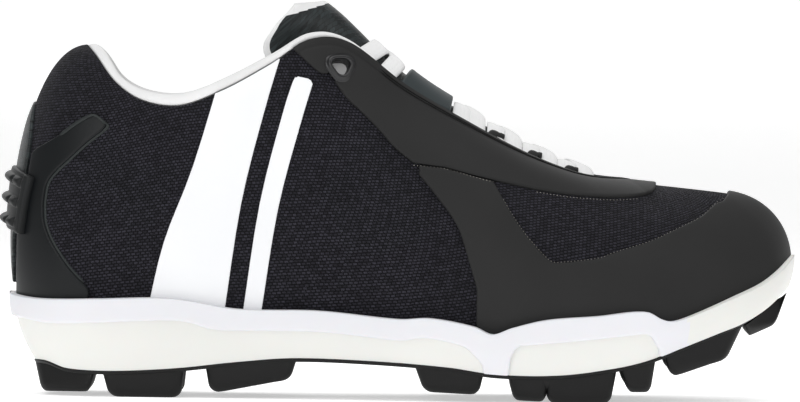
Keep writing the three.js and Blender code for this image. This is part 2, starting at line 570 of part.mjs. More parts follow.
const counterRows = [
  { at: 0.039, up: 0.565 }, { at: 0.06, up: 0.603 }, { at: 0.0765, up: 0.636 }, { at: 0.0916, up: 0.673 },
  { at: 0.108, up: 0.706 }, { at: 0.119, up: 0.714 }, { at: 0.134, up: 0.6746 }, { at: 0.1316, up: 0.659 },
  { at: 0.108, up: 0.598 }, { at: 0.085, up: 0.5277 }, { at: 0.0726, up: 0.49 }, { at: 0.0614, up: 0.4407 },
  { at: 0.0575, up: 0.368 }, { at: 0.0575, up: 0.324 }, { at: 0.059, up: 0.2757 }, { at: 0.0667, up: 0.211 },
  { at: 0.0814, up: 0.1356 }, { at: 0.0965, up: 0.0757 }, { at: 0.12, up: 0.005 },
];
const clearOfStrip = (point) => new THREE.Vector2(point.x + 2 * GAP, point.y);
const counterArea = [
  ...smooth(spots(counterRows, HEEL_HEIGHT), 36).slice(1, -1),
  ...soleBorder(0.0225, 0.117).reverse(),
  ...smooth(spots(backLineRows.slice(0, 3), HEEL_HEIGHT), 5).map(clearOfStrip),
];
const SIDES = [['lateral', -REACH, 0], ['medial', 0, REACH]];
SIDES.forEach(([side, from, to]) => {
  add(`heel_counter_${side}`, overlay.intersect(throughSide(counterArea, from, to)), '#22272a', 0.45);
});

// Colour panels on the quarter: a broad leaning block and a slim bar in front of it
const panelRows = [
  { at: 0.185, up: -0.1 }, { at: 0.207, up: 0.2 }, { at: 0.243, up: 0.5 }, { at: 0.285, up: 0.95 },
  { at: 0.353, up: 0.95 }, { at: 0.33, up: 0.7 }, { at: 0.303, up: 0.35 }, { at: 0.282, up: -0.1 },
];
const barRows = [
  { at: 0.305, up: -0.1 }, { at: 0.326, up: 0.35 }, { at: 0.3535, up: 0.7 }, { at: 0.368, up: 0.845 },
  { at: 0.392, up: 0.83 }, { at: 0.376, up: 0.66 }, { at: 0.349, up: 0.33 }, { at: 0.328, up: -0.1 },
];
const film = layer(GAP, GAP + FILM);
const aboveSole = throughSide([
  ...soleBorder(0.15, 0.4), spot(0.4, HIGH, INSTEP_HEIGHT), spot(0.15, HIGH, INSTEP_HEIGHT),
]);
const printArea = (rows) => {
  const points = spots(rows, INSTEP_HEIGHT);
  return [...smooth(points.slice(0, 4), 5), ...smooth(points.slice(4), 5)];
};
SIDES.forEach(([side, from, to]) => {
  [['quarter_panel', panelRows], ['quarter_bar', barRows]].forEach(([name, rows]) => {
    const shape = throughSide(printArea(rows), from, to).intersect(aboveSole);
    add(`${name}_${side}`, film.intersect(shape), '#f4f4f6', 0.5);
  });
});

// Heel piece with three ribs and an upright bar at each end
const HEEL_SEAT = OVERLAY + 2 * GAP;
const HEEL_RIBS = 3;
const RIBS_LOW = 0.25; // lower and upper end of the piece as levels of the upper
const RIBS_HIGH = 0.43;
const RIBS_ROUND = 1.2; // how many ribs of the upper it reaches round each side
const RIB_FADE = 0.35; // how much lower the ribs are at their ends
const BAR_FROM = 0.84; // where the upright bars begin, as a share of the reach
const BAR_FULL = 0.88;
const ribPlace = (a, b, offset) => (
  skin(RIBS_ROUND * b, THREE.MathUtils.lerp(RIBS_LOW, RIBS_HIGH, a), offset)
);
const ribOffset = (a, b) => {
  const bar = THREE.MathUtils.smoothstep(Math.abs(b), BAR_FROM, BAR_FULL);
  const wave = Math.max(Math.sin(Math.PI * (2 * HEEL_RIBS * a - 0.5)), 0) * (1 - a / 4);
  const rib = RIB_RISE * wave * (1 - RIB_FADE * b * b);
  return HEEL_SEAT + RIB_BASE + rib * (1 - bar) + RIB_BAR * bar;
};
add('heel_ribs', patch(ribPlace, 18, 8, () => HEEL_SEAT, ribOffset), '#1e2022', 0.5);

// Collar lining: padded round the ankle, a narrow piping down the throat
const PAD_END = 5; // rib where the padding begins to thin
const PIPING_FROM = 8.2; // rib from which it is a piping
const LINING_END = 9; // rib where the piping ends
const padAt = (place) => {
  const thin = THREE.MathUtils.smoothstep(Math.abs(place), PAD_END, PIPING_FROM);
  return {
    pad: THREE.MathUtils.lerp(COLLAR_PAD, PIPING_PAD, thin),
    lip: THREE.MathUtils.lerp(COLLAR_LIP, PIPING_LIP, thin),
  };
};
const liningRows = [
  { up: LEVELS[4], past: 0, wall: -WALL - GAP, foot: -WALL - GAP - LINING_HEM, padding: 0 },
  { up: LEVELS[5], past: 0, wall: -WALL - GAP, foot: -WALL - GAP, padding: 0.9 },
  { up: 1, past: 0, wall: -WALL - GAP, foot: -WALL - GAP, padding: 1 },
  { up: 1, past: 0.12, wall: -GAP, foot: -WALL - GAP, padding: 1 },
  { up: 1, past: 0.6, wall: GAP, foot: -WALL, padding: 0.85 },
  { up: 1, past: 1, wall: -0.6 * WALL, foot: -WALL, padding: 0.3 },
];
function liningPoint(row, place, wallSide) {
  const { pad, lip } = padAt(place);
  const offset = wallSide ? row.wall : row.foot - row.padding * pad;
  const point = skin(place, row.up, offset);
  const rise = face(place, 1).sub(face(place, 1 - NUDGE)).normalize();
  return point.addScaledVector(rise, row.past * lip);
}
const liningSide = stations.filter((place) => place <= LINING_END);
const liningStations = [...liningSide.slice(1).reverse().map((place) => -place), ...liningSide];
const liningPlace = (a, b, wallSide) => {
  const row = liningRows[Math.round(((b + 1) / 2) * (liningRows.length - 1))];
  return liningPoint(row, liningStations[Math.round(a * (liningStations.length - 1))], wallSide);
};
const lining = patch(liningPlace, liningStations.length - 1, liningRows.length - 1, () => false, () => true);
add('collar_lining', lining, '#f5f5f5', 0.9);

// Tongue, from under the vamp to above the collar. sweep and droop carry its sides back and down.
const tongueRows = [
  { at: 0.786, up: 0.4086, mid: 0.03, half: 0.135, sweep: 0, droop: 0.036 },
  { at: 0.726, up: 0.479, mid: 0.028, half: 0.177, sweep: 0, droop: 0.083 },
  { at: 0.66, up: 0.5676, mid: 0.018, half: 0.219, sweep: 0, droop: 0.115 },
  { at: 0.5825, up: 0.7027, mid: 0, half: 0.25, sweep: 0.01, droop: 0.151 },
  { at: 0.526, up: 0.8086, mid: 0, half: 0.25, sweep: 0.083, droop: 0.1875 },
  { at: 0.484, up: 0.911, mid: 0, half: 0.229, sweep: 0.208, droop: 0.198 },
  { at: 0.449, up: 1.016, mid: 0, half: 0.208, sweep: 0.344, droop: 0.104 },
  { at: 0.4246, up: 1.0865, mid: 0, half: 0.198, sweep: 0.25, droop: 0.057 },
  { at: 0.4, up: 1.146, mid: 0, half: 0.135, sweep: 0.094, droop: 0.021 },
];
const tongueLine = new THREE.CatmullRomCurve3(tongueRows.map((row) => new THREE.Vector3(
  row.at * LENGTH, row.mid * BALL_WIDTH, HEEL_STACK + row.up * INSTEP_HEIGHT,
)), false, 'catmullrom', 0.5);
const tongueSpread = new THREE.CatmullRomCurve3(tongueRows.map((row) => new THREE.Vector3(
  row.sweep * BALL_WIDTH, row.half * BALL_WIDTH, row.droop * BALL_WIDTH,
)), false, 'catmullrom', 0.5);
function tongueFace(a, b) {
  const middle = tongueLine.getPoint(a);
  const spread = tongueSpread.getPoint(a);
  return middle.add(new THREE.Vector3(-spread.x * b * b, spread.y * b, -spread.z * b * b));
}
function tongueSkin(a, b, offset) {
  const step = 0.01;
  const way = tongueFace(Math.min(a + step, 1), b).sub(tongueFace(Math.max(a - step, 0), b));
  const side = tongueFace(a, b + step).sub(tongueFace(a, b - step));
  return tongueFace(a, b).addScaledVector(side.cross(way).normalize(), offset);
}
const tongueThick = (a, b) => -TONGUE * (0.55 + 0.45 * a) * (1 - 0.5 * b ** 4);
add('tongue', patch(tongueSkin, 14, 8, tongueThick, () => 0), '#333a3a', 0.6);

// Place on the tongue, from its front end, where its middle line passes a share of the length
function tonguePlace(at) {
  let [front, back] = [0, 1];
  for (let i = 0; i < 20; i += 1) {
    const middle = (front + back) / 2;
    if (tongueLine.getPoint(middle).x > at * LENGTH) front = middle;
    else back = middle;
  }
  return front;
}
const keeperPoint = (a, b, offset) => tongueSkin(
  THREE.MathUtils.lerp(tonguePlace(0.5625), tonguePlace(0.507), a), 0.54 * b, offset,
);
add('lace_keeper', patch(keeperPoint, 4, 8, () => GAP, () => GAP + KEEPER), '#3d4547', 0.6);

// Lace: two bands cross between each pair of eyelets, joined where they meet
function laceBand(from, to, reach, hump) {
  const start = tonguePlace(from);
  const end = tonguePlace(to);
  const speed = tongueLine.getPoint(start).distanceTo(tongueLine.getPoint(end)) / Math.abs(end - start);
  const halfStep = LACE_WIDTH / 2 / speed;
  const point = (a, b, offset) => {
    const side = THREE.MathUtils.lerp(-reach, reach, a);
    const lift = hump * LACE * 0.85 * Math.max(Math.cos(side * 1.9 / reach), 0);
    return tongueSkin(THREE.MathUtils.lerp(start, end, a) + b * halfStep, side, offset + lift);
  };
  return patch(point, 8, 1, () => 2 * GAP, () => 2 * GAP + LACE);
}
const crossings = [
  { front: 0.731, rear: 0.708, reach: 0.52 }, { front: 0.685, rear: 0.663, reach: 0.6 },
  { front: 0.64, rear: 0.618, reach: 0.62 }, { front: 0.594, rear: 0.576, reach: 0.62 },
  { front: 0.4925, rear: 0.4705, reach: 0.62 },
];
crossings.forEach((crossing, i) => {
  const over = laceBand(crossing.front, crossing.rear, crossing.reach, 1);
  const under = laceBand(crossing.rear, crossing.front, crossing.reach, 0);
  add(`lace_crossing_${i + 1}`, over.add(under), '#f5f5f5', 0.85);
});

// Grommets round the top eyelets
const grommetLayer = layer(HEEL_SEAT, HEEL_SEAT + GROMMET);
SIDES.forEach(([side, from, to]) => {
  const rim = throughSide(eyeletOutline(EYELET + GROMMET_RIM), from, to).subtract(eyeletHole);
  add(`grommet_${side}`, grommetLayer.intersect(rim), '#151517', 0.35);
});

// The origin is under the middle of the shoe, on the floor
const bounds = new THREE.Box3().setFromObject(group);
const centre = bounds.getCenter(new THREE.Vector3());
group.position.set(-centre.x, -centre.y, -bounds.min.z);

export default group;
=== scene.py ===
"""Looks of a right softball cleat: woven mesh upper with smooth overlays, padded collar and tongue,
flat laces, a three-piece foam midsole and a studded rubber outsole."""

import math
from collections import namedtuple

import bpy
import numpy as np
from bpy.props import FloatProperty, FloatVectorProperty, PointerProperty
from mathutils import Matrix, Vector
from mathutils.bvhtree import BVHTree


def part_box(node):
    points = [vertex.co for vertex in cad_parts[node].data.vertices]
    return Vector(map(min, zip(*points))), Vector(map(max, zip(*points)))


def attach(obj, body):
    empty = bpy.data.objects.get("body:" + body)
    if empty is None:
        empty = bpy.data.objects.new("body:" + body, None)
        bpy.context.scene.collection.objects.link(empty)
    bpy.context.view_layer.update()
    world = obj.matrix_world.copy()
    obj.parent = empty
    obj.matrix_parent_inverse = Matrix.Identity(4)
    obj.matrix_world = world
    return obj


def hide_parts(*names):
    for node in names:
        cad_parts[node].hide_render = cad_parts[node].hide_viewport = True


bl_info = {
    "name": "Softball cleat",
    "version": (1, 0, 0),
    "blender": (4, 5, 0),
    "location": "View3D > Sidebar > Cleat",
    "description": "Builds the visible surfaces of a softball cleat over its solid model",
    "category": "Object",
}

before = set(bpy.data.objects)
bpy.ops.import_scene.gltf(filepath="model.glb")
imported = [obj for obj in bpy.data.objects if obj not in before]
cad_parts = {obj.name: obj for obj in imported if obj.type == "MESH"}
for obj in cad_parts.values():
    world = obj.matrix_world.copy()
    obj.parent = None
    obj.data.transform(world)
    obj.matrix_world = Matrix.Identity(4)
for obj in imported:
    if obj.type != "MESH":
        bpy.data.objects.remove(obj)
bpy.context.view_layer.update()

MM = 0.001

# The shoe's driving sizes, the same as in the solid model
LENGTH = 285 * MM
HEEL_WIDTH = 66 * MM
BALL_WIDTH = 96 * MM
HEEL_STACK = 37 * MM
HEEL_HEIGHT = 88.5 * MM
INSTEP_HEIGHT = 92.5 * MM
TOE_HEIGHT = 38 * MM
WALL = 2 * MM
GAP = 0.3 * MM
LUG_HEIGHT = 10 * MM
PLATE = 1.6 * MM
PLATE_INSET = 0.4 * MM
LOWER_STEP = 1.8 * MM
RIM = 5 * MM
TAPER = 5 * MM
TAPER_CURVE = 2.2
INSOLE = 3.5 * MM
COLLAR_PAD = 5 * MM
COLLAR_LIP = 4.6 * MM
PIPING_PAD = 1.6 * MM
PIPING_LIP = 2.6 * MM
LINING_HEM = 0.8 * MM
TONGUE = 5 * MM
KEEPER = 2.8 * MM
LACE = 1.7 * MM
LOOPS = (0.607, 0.6575, 0.7055)  # places of the webbing loops between the crossings
LOOP_WIDTH = 3.4 * MM
LOOP_THICK = 1.5 * MM
RIB_BASE = 1 * MM
RIB_RISE = 2.6 * MM
RIB_BAR = 1.2 * MM
RIB_EDGE = 0.9 * MM  # rounding of the heel piece's border
CORDS = (1.8 * MM, 3 * MM)  # the two dark cords, measured in from the throat's edge
EYELET = 3.2 * MM
GROMMET_RIM = 2.4 * MM

# Heights of the cloth and film pieces over the upper, a little under those of their solids
OVERLAY = 1.2 * MM
FILM = 0.5 * MM
HEEL_SEAT = 1.8 * MM

Rib = namedtuple("Rib", "at out inn belly top top_out top_inn rise roll drop wide tall")
HEEL_RIBS = [
    Rib(*row, HEEL_WIDTH, HEEL_HEIGHT)
    for row in (
        (0.0245, 0, 0, 0.114, 0.105, 0, 0, 0.998, 0.32, 0.016),
        (0.032, 0.242, 0.242, 0.125, 0.1175, 0.19, 0.19, 0.955, 0.26, 0.04),
        (0.07, 0.424, 0.424, 0.1, 0.144, 0.326, 0.326, 0.847, 0.155, 0.09),
        (0.133, 0.492, 0.485, 0.076, 0.179, 0.4, 0.395, 0.774, 0.09, 0.17),
        (0.21, 0.5, 0.47, 0.068, 0.226, 0.44, 0.43, 0.757, 0.068, 0.24),
    )
]
INSTEP_RIBS = [
    Rib(*row, BALL_WIDTH, INSTEP_HEIGHT)
    for row in (
        (0.288, 0.3385, 0.307, 0.052, 0.281, 0.307, 0.297, 0.789, 0.047, 0.25),
        (0.365, 0.344, 0.292, 0.0625, 0.337, 0.297, 0.286, 0.886, 0.0625, 0.27),
        (0.442, 0.365, 0.297, 0.073, 0.386, 0.276, 0.266, 0.982, 0.094, 0.27),
        (0.519, 0.406, 0.333, 0.078, 0.435, 0.234, 0.229, 0.968, 0.135, 0.23),
        (0.5965, 0.443, 0.39, 0.078, 0.505, 0.203, 0.198, 0.805, 0.167, 0.135),
        (0.6735, 0.469, 0.4375, 0.073, 0.5825, 0.187, 0.187, 0.665, 0.208, 0.093),
        (0.747, 0.474, 0.453, 0.0625, 0.66, 0.156, 0.193, 0.541, 0.229, 0.052),
        (0.8175, 0.448, 0.453, 0.057, 0.726, 0.109, 0.167, 0.467, 0.25, 0.026),
    )
]
TOE_RIBS = [
    Rib(*row, BALL_WIDTH, TOE_HEIGHT)
    for row in (
        (0.881, 0.385, 0.427, 0.052, 0.7755, -0.031, 0.031, 1.092, 0.3125, 0.012),
        (0.933, 0.281, 0.365, 0.052, 0.828, -0.047, 0.047, 1.053, 0.25, 0.01),
        (0.972, 0.135, 0.26, 0.052, 0.87, -0.057, 0.057, 1.016, 0.24, -0.012),
        (0.986, -0.073, 0.073, 0.052, 0.891, -0.0625, 0.0625, 0.99, 0.26, -0.033),
    )
]
RIBS = HEEL_RIBS + INSTEP_RIBS + TOE_RIBS
LIFT = 0.33  # height of the lower handle of each rib's curve, as a share of the way up
TOE = len(RIBS) - 1  # places are counted in ribs, from the heel's middle round by the toe
THROAT = TOE - 3  # front end of the throat
AROUND = 2 * TOE

# Side lines of the sole: place along the length, height as a share of the heel stack or the lugs
EDGE = [
    (0, 1.06), (0.018, 1.01), (0.05, 0.983), (0.12, 0.99), (0.2, 1.008), (0.235, 0.988),
    (0.3, 0.908), (0.4, 0.9), (0.5, 0.832), (0.54, 0.845), (0.595, 0.77), (0.617, 0.7),
    (0.642, 0.765), (0.685, 0.846), (0.75, 0.89), (0.809, 0.935), (0.83, 0.86), (0.845, 0.845),
    (0.87, 0.905), (0.925, 1.084), (0.958, 1.2), (0.982, 1.33), (1, 1.465),
]
FOOTBED = [
    (0, 0.86), (0.2, 0.84), (0.35, 0.76), (0.5, 0.685), (0.617, 0.66), (0.66, 0.69),
    (0.72, 0.715), (0.8, 0.745), (0.86, 0.8), (0.93, 0.93), (0.975, 1.12), (1, 1.24),
]
UNDERSIDE = [
    (0, 1.3), (0.035, 1.3), (0.075, 1.06), (0.14, 0.99), (0.225, 1.12), (0.3, 1.36),
    (0.37, 1.52), (0.47, 1.45), (0.56, 1.28), (0.62, 1.06), (0.7, 1.06), (0.775, 1.34),
    (0.82, 1.64), (0.86, 2.06), (0.91, 2.6), (0.94, 2.93), (0.97, 3.45), (1, 4.2),
]
RIM_SHARES = [(0, 0.74), (0.06, 0.8), (0.2, 0.92), (0.45, 1), (0.7, 1.04), (0.88, 0.96), (1, 0.76)]
TAPER_SHARES = [(0, 1.6), (0.06, 1.3), (0.2, 1), (0.45, 0.9), (0.7, 0.9), (0.88, 0.8), (1, 0.3)]

# Outlines in the side view: place along the length, height over the heel stack as a share of the
# instep or heel height
SEAM = [(0.516, 0.507), (0.556, 0.495), (0.592, 0.465), (0.617, 0.4465)]
VAMP = [
    (0.629, 0.382), (0.641, 0.32), (0.6575, 0.2475), (0.676, 0.183), (0.69, 0.145),
    (0.705, 0.1416), (0.749, 0.158), (0.7667, 0.178), (0.813, 0.2227), (0.8446, 0.266),
    (0.877, 0.3135), (0.896, 0.361), (0.912, 0.392), (0.93, 0.55),
]
GUARD_REAR = [(0.598, 0.04), (0.588, 0.1395), (0.573, 0.2746), (0.546, 0.39), (0.523, 0.4746)]
EYESTAY_REAR = [
    (0.5175, 0.5135), (0.493, 0.573), (0.474, 0.638), (0.4505, 0.71), (0.4316, 0.763),
    (0.4105, 0.8486), (0.398, 0.858), (0.366, 0.945), (0.35, 1),
]
EYESTAY_FRONT = [
    (0.67, 0.414), (0.709, 0.3957), (0.748, 0.386), (0.7744, 0.3838), (0.798, 0.388),
    (0.818, 0.404), (0.825, 0.45),
]
BACK_LINE = [(0.0214, 0.226), (0.03, 0.373), (0.039, 0.565), (0.043, 0.75), (0.0475, 0.84)]
COUNTER = [
    (0.039, 0.565), (0.06, 0.603), (0.0765, 0.636), (0.0916, 0.673), (0.108, 0.706),
    (0.119, 0.714), (0.134, 0.6746), (0.1316, 0.659), (0.108, 0.598), (0.085, 0.5277),
    (0.0726, 0.49), (0.0614, 0.4407), (0.0575, 0.368), (0.0575, 0.324), (0.059, 0.2757),
    (0.0667, 0.211), (0.0814, 0.1356), (0.0965, 0.0757), (0.12, 0.005),
]
PANEL = [
    (0.185, -0.1), (0.207, 0.2), (0.243, 0.5), (0.285, 0.95),
    (0.353, 0.95), (0.33, 0.7), (0.303, 0.35), (0.282, -0.1),
]
BAR = [
    (0.305, -0.1), (0.326, 0.35), (0.3535, 0.7), (0.368, 0.845),
    (0.392, 0.83), (0.376, 0.66), (0.349, 0.33), (0.328, -0.1),
]
MIDSOLE_REAR = [
    (-0.02, 0.775), (0.026, 0.74), (0.058, 0.703), (0.102, 0.708), (0.207, 0.746),
    (0.242, 0.722), (0.276, 0.657), (0.375, 0.654), (0.433, 0.632), (0.5, 0.578),
    (0.531, 0.611), (0.56, 0.576), (0.582, 0.53), (0.596, 0.435), (0.605, 0.33), (0.609, 0.1),
]
MIDSOLE_FORE = [
    (0.637, 0.1), (0.639, 0.295), (0.6425, 0.457), (0.651, 0.546), (0.665, 0.557),
    (0.704, 0.586), (0.773, 0.643), (0.803, 0.673), (0.8145, 0.657), (0.8225, 0.56),
    (0.827, 0.47), (0.8275, 0.1),
]
Lug = namedtuple("Lug", "root_from root_to tip_from tip_to rear front middle")
LUGS = [
    Lug(0.045, 0.122, 0.054, 0.115, 0.12, 0.16, True),
    Lug(0.131, 0.234, 0.14, 0.23, 0, 0, False),
    Lug(0.26, 0.375, 0.266, 0.366, 0.21, 0.64, False),
    Lug(0.521, 0.608, 0.534, 0.602, 0.32, 0.27, False),
    Lug(0.639, 0.69, 0.645, 0.685, 0.08, 0.05, False),
    Lug(0.684, 0.774, 0.688, 0.766, 0, 0, False),
    Lug(0.777, 0.822, 0.788, 0.816, 0.42, 0.42, False),
    Lug(0.833, 0.931, 0.84, 0.91, 1.02, 1.5, False),
    Lug(0.934, 0.99, 0.939, 0.974, 2.42, 2.75, True),
]
LUG_WEB = Lug(0.66, 0.715, 0.665, 0.705, 0.42, 0.4, False)  # joins the two lugs under the ball
LUG_REACH = 0.45  # inner end of a side lug, as a share of the way to the plate's edge
LUG_DRAFT = 2.2 * MM
TongueRow = namedtuple("TongueRow", "at up mid half sweep droop")
TONGUE_ROWS = [
    TongueRow(0.786, 0.4086, 0.03, 0.135, 0, 0.036),
    TongueRow(0.726, 0.479, 0.028, 0.177, 0, 0.083),
    TongueRow(0.66, 0.5676, 0.018, 0.219, 0, 0.115),
    TongueRow(0.5825, 0.7027, 0, 0.25, 0.01, 0.151),
    TongueRow(0.526, 0.8086, 0, 0.25, 0.083, 0.1875),
    TongueRow(0.484, 0.911, 0, 0.229, 0.208, 0.198),
    TongueRow(0.449, 1.016, 0, 0.208, 0.344, 0.104),
    TongueRow(0.4246, 1.0865, 0, 0.198, 0.25, 0.057),
    TongueRow(0.4, 1.146, 0, 0.135, 0.094, 0.021),
]
Crossing = namedtuple("Crossing", "front rear reach")
CROSSINGS = [
    Crossing(0.731, 0.708, 0.52), Crossing(0.685, 0.663, 0.6), Crossing(0.64, 0.618, 0.62),
    Crossing(0.594, 0.576, 0.62), Crossing(0.4925, 0.4705, 0.62),
]


def linear(hex_colour):
    """Linear colour of an sRGB hex value."""
    parts = [int(hex_colour[i : i + 2], 16) / 255 for i in (1, 3, 5)]
    return tuple(c / 12.92 if c <= 0.04045 else ((c + 0.055) / 1.055) ** 2.4 for c in parts)


def colour_choice(name, description, hex_colour):
    return FloatVectorProperty(
        name=name, description=description, subtype="COLOR", size=3, min=0, max=1,
        default=linear(hex_colour),
    )


def length_choice(name, description, default):
    return FloatProperty(
        name=name, description=description, unit="LENGTH", subtype="DISTANCE", default=default,
    )


class CleatColours(bpy.types.PropertyGroup):
    """Colours of the cleat's materials"""

    cloth: colour_choice("Mesh cloth", "Ground of the woven mesh", "#050507")
    thread: colour_choice("Mesh thread", "Raised threads of the woven mesh", "#37363E")
    overlay: colour_choice("Overlay", "Smooth overlays of toe and throat", "#202020")
    counter: colour_choice("Counter", "Smooth overlay of the heel", "#0B0E10")
    # paler than the counter: a painted highlight along the raised rim of the heel overlay
    edging_highlight: colour_choice("Edging", "Raised edge of the heel overlay", "#262A2A")
    twill: colour_choice("Twill", "Coated twill of back strip and tongue", "#1B2021")
    keeper: colour_choice("Keeper", "Slab over the tongue", "#2B3234")
    film: colour_choice("Film", "Colour panels of the quarter", "#E8E9EB")
    band: colour_choice("Foam band", "Upper midsole", "#DDDDE1")
    foam: colour_choice("Lower foam", "Lower midsole parts", "#DFDFDB")
    rubber: colour_choice("Rubber", "Outsole", "#080808")
    moulding: colour_choice("Heel moulding", "Ribbed piece at the heel", "#131516")
    lining: colour_choice("Lining", "Collar and tongue lining", "#E4E4E4")
    lace: colour_choice("Lace", "Flat lace", "#E6E6E6")


class CleatSizes(bpy.types.PropertyGroup):
    """Sizes of the cleat's details"""

    lace_width: length_choice("Lace width", "Width of the flat lace", 7.2 * MM)
    stitch: length_choice("Stitch", "Length of one stitch", 1.5 * MM)
    stitch_step: length_choice("Stitch step", "Distance from stitch to stitch", 2.4 * MM)
    weave: length_choice("Weave", "Width of one float of the mesh cloth", 1.6 * MM)
    soft_edge: length_choice("Soft edge", "Rounding of the overlays' edges", 0.7 * MM)
    foam_edge: length_choice("Foam edge", "Rounding of the midsole's edges", 1.1 * MM)


# Curves


def along(rows):
    """A smooth curve through a table's heights, between its places."""
    places, values = (np.array(column, float) for column in zip(*rows))
    slopes = np.empty(len(places))
    slopes[1:-1] = (values[2:] - values[:-2]) / (places[2:] - places[:-2])
    slopes[0] = (values[1] - values[0]) / (places[1] - places[0])
    slopes[-1] = (values[-1] - values[-2]) / (places[-1] - places[-2])

    def at(place):
        place = np.clip(place, places[0], places[-1])
        row = np.clip(np.searchsorted(places, place), 1, len(places) - 1)
        span = places[row] - places[row - 1]
        t = (place - places[row - 1]) / span
        start = (1 + 2 * t) * (1 - t) ** 2 * values[row - 1] + t * (1 - t) ** 2 * span * slopes[row - 1]
        return start + t * t * (3 - 2 * t) * values[row] + t * t * (t - 1) * span * slopes[row]

    return at


def on_curve(points, place, closed=True):
    """Points of a smooth curve through rows of points, counted by place."""
    points = np.asarray(points, float)
    place = np.asarray(place, float)
    count = len(points)
    if closed:
        low = np.floor(place).astype(int)
        before, start, end, after = (points[(low + k) % count] for k in (-1, 0, 1, 2))
    else:
        run = np.vstack([2 * points[0] - points[1], points, 2 * points[-1] - points[-2]])
        low = np.clip(np.floor(place).astype(int), 0, count - 2)
        before, start, end, after = (run[low + k] for k in (0, 1, 2, 3))
    t = (place - low).reshape(place.shape + (1,) * (points.ndim - 1))
    leave, arrive = (end - before) / 2, (after - start) / 2
    return (
        (2 * t**3 - 3 * t**2 + 1) * start + (t**3 - 2 * t**2 + t) * leave
        + (3 * t**2 - 2 * t**3) * end + (t**3 - t**2) * arrive
    )


def smooth_line(rows, count):
    """A smooth open line of count steps through a table's rows."""
    return on_curve(rows, np.linspace(0, len(rows) - 1, count + 1), closed=False)


def unit(vectors):
    return vectors / np.maximum(np.linalg.norm(vectors, axis=-1, keepdims=True), 1e-12)


def step_up(value, low, high):
    """Soft step from 0 at low to 1 at high."""
    t = np.clip((value - low) / (high - low), 0, 1)
    return t * t * (3 - 2 * t)


def rounding(share):
    """Height of a rounded edge from 0 to 1, at a share of its width in from the border."""
    return np.sqrt(np.clip(1 - (1 - np.clip(share, 0, 1)) ** 2, 0, 1))


edge_up, footbed_up, underside_up = along(EDGE), along(FOOTBED), along(UNDERSIDE)
rim_share, taper_share = along(RIM_SHARES), along(TAPER_SHARES)


def edge_height(x):
    return HEEL_STACK * edge_up(x / LENGTH)


def underside(x):
    return LUG_HEIGHT * underside_up(x / LENGTH)


# The upper's outer face, the same function as in the solid model


def loop_of(point_of, last):
    outer = [point_of(RIBS[row], -1, row) for row in range(last + 1)]
    inner = [point_of(RIBS[row], 1, AROUND - row) for row in range(last - 1, 0, -1)]
    return np.array(outer + inner)


def foot_point(rib, side, place=0):
    x = rib.at * LENGTH
    reach = rib.out if side < 0 else rib.inn
    return np.array([x, side * rib.wide * reach, HEEL_STACK * footbed_up(rib.at) + GAP])


def top_point(rib, side, place=0):
    reach = rib.top_out if side < 0 else rib.top_inn
    return np.array([rib.top * LENGTH, side * rib.wide * reach, HEEL_STACK + rib.rise * rib.tall])


FOOT = loop_of(foot_point, TOE)
TOPLINE = loop_of(top_point, THROAT)
RIDGE = np.array([top_point(rib, 1) for rib in RIBS[THROAT:]])
NUDGE = 0.003


def outward(place):
    """Level direction away from the foot of the upper."""
    way = on_curve(FOOT, np.asarray(place) + NUDGE) - on_curve(FOOT, np.asarray(place) - NUDGE)
    return unit(np.stack([way[..., 1], -way[..., 0], np.zeros(way.shape[:-1])], -1))


def low_handle(rib, side, place):
    foot = foot_point(rib, side)
    point = foot + outward(place) * rib.belly * rib.wide
    point[2] = foot[2] + LIFT * (top_point(rib, side)[2] - foot[2])
    return point


def high_handle(rib, side, place):
    top = top_point(rib, side)
    point = top + outward(place) * rib.roll * rib.wide
    point[2] = top[2] - rib.drop * rib.tall
    return point


LOW_HANDLES = loop_of(low_handle, TOE)
HIGH_HANDLES = loop_of(high_handle, TOE)


def top_of(place):
    place = np.mod(place, AROUND)
    after = AROUND - THROAT
    line = on_curve(TOPLINE, np.where(place > after, place - AROUND + 2 * THROAT, place))
    ridge = on_curve(RIDGE, np.minimum(place, AROUND - place) - THROAT, closed=False)
    return np.where(((place >= THROAT) & (place <= after))[..., None], ridge, line)


def face(place, up):
    """The upper's outer face in the solid model's own lengths, from heel (0) round by the toe."""
    place, up = np.broadcast_arrays(np.asarray(place, float), np.asarray(up, float))
    up = up[..., None]
    down = 1 - up
    return (
        on_curve(FOOT, place) * down**3 + on_curve(LOW_HANDLES, place) * 3 * up * down**2
        + on_curve(HIGH_HANDLES, place) * 3 * up**2 * down + top_of(place) * up**3
    )


def grid_normals(points, wrap=True):
    """Outward directions of a grid of points, rows going up and columns going round."""
    if wrap:
        across = np.roll(points, -1, 1) - np.roll(points, 1, 1)
    else:
        across = np.gradient(points, axis=1)
    return unit(np.cross(across, np.gradient(points, axis=0)))


# The frame's origin lies under the middle of the shoe, and the tables count from the heel
upper_low, upper_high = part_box("upper")
SHIFT = np.array([upper_high.x, upper_high.y + upper_low.y, 0])
shape = face(np.linspace(0, AROUND, 20 * AROUND)[None, :], np.linspace(0, 1, 40)[:, None])
SHIFT[0] -= shape[..., 0].max()
SHIFT[1] = (SHIFT[1] - shape[..., 1].max() - shape[..., 1].min()) / 2

PER_RIB = 16
COLUMNS = PER_RIB * AROUND
PLACES = np.arange(COLUMNS) / PER_RIB
LEVELS = np.concatenate([np.linspace(0, 0.88, 42)[:-1], np.linspace(0.88, 1, 15)])
MIRROR = -np.arange(COLUMNS) % COLUMNS
ON_RIDGE = (PLACES >= THROAT) & (PLACES <= AROUND - THROAT)

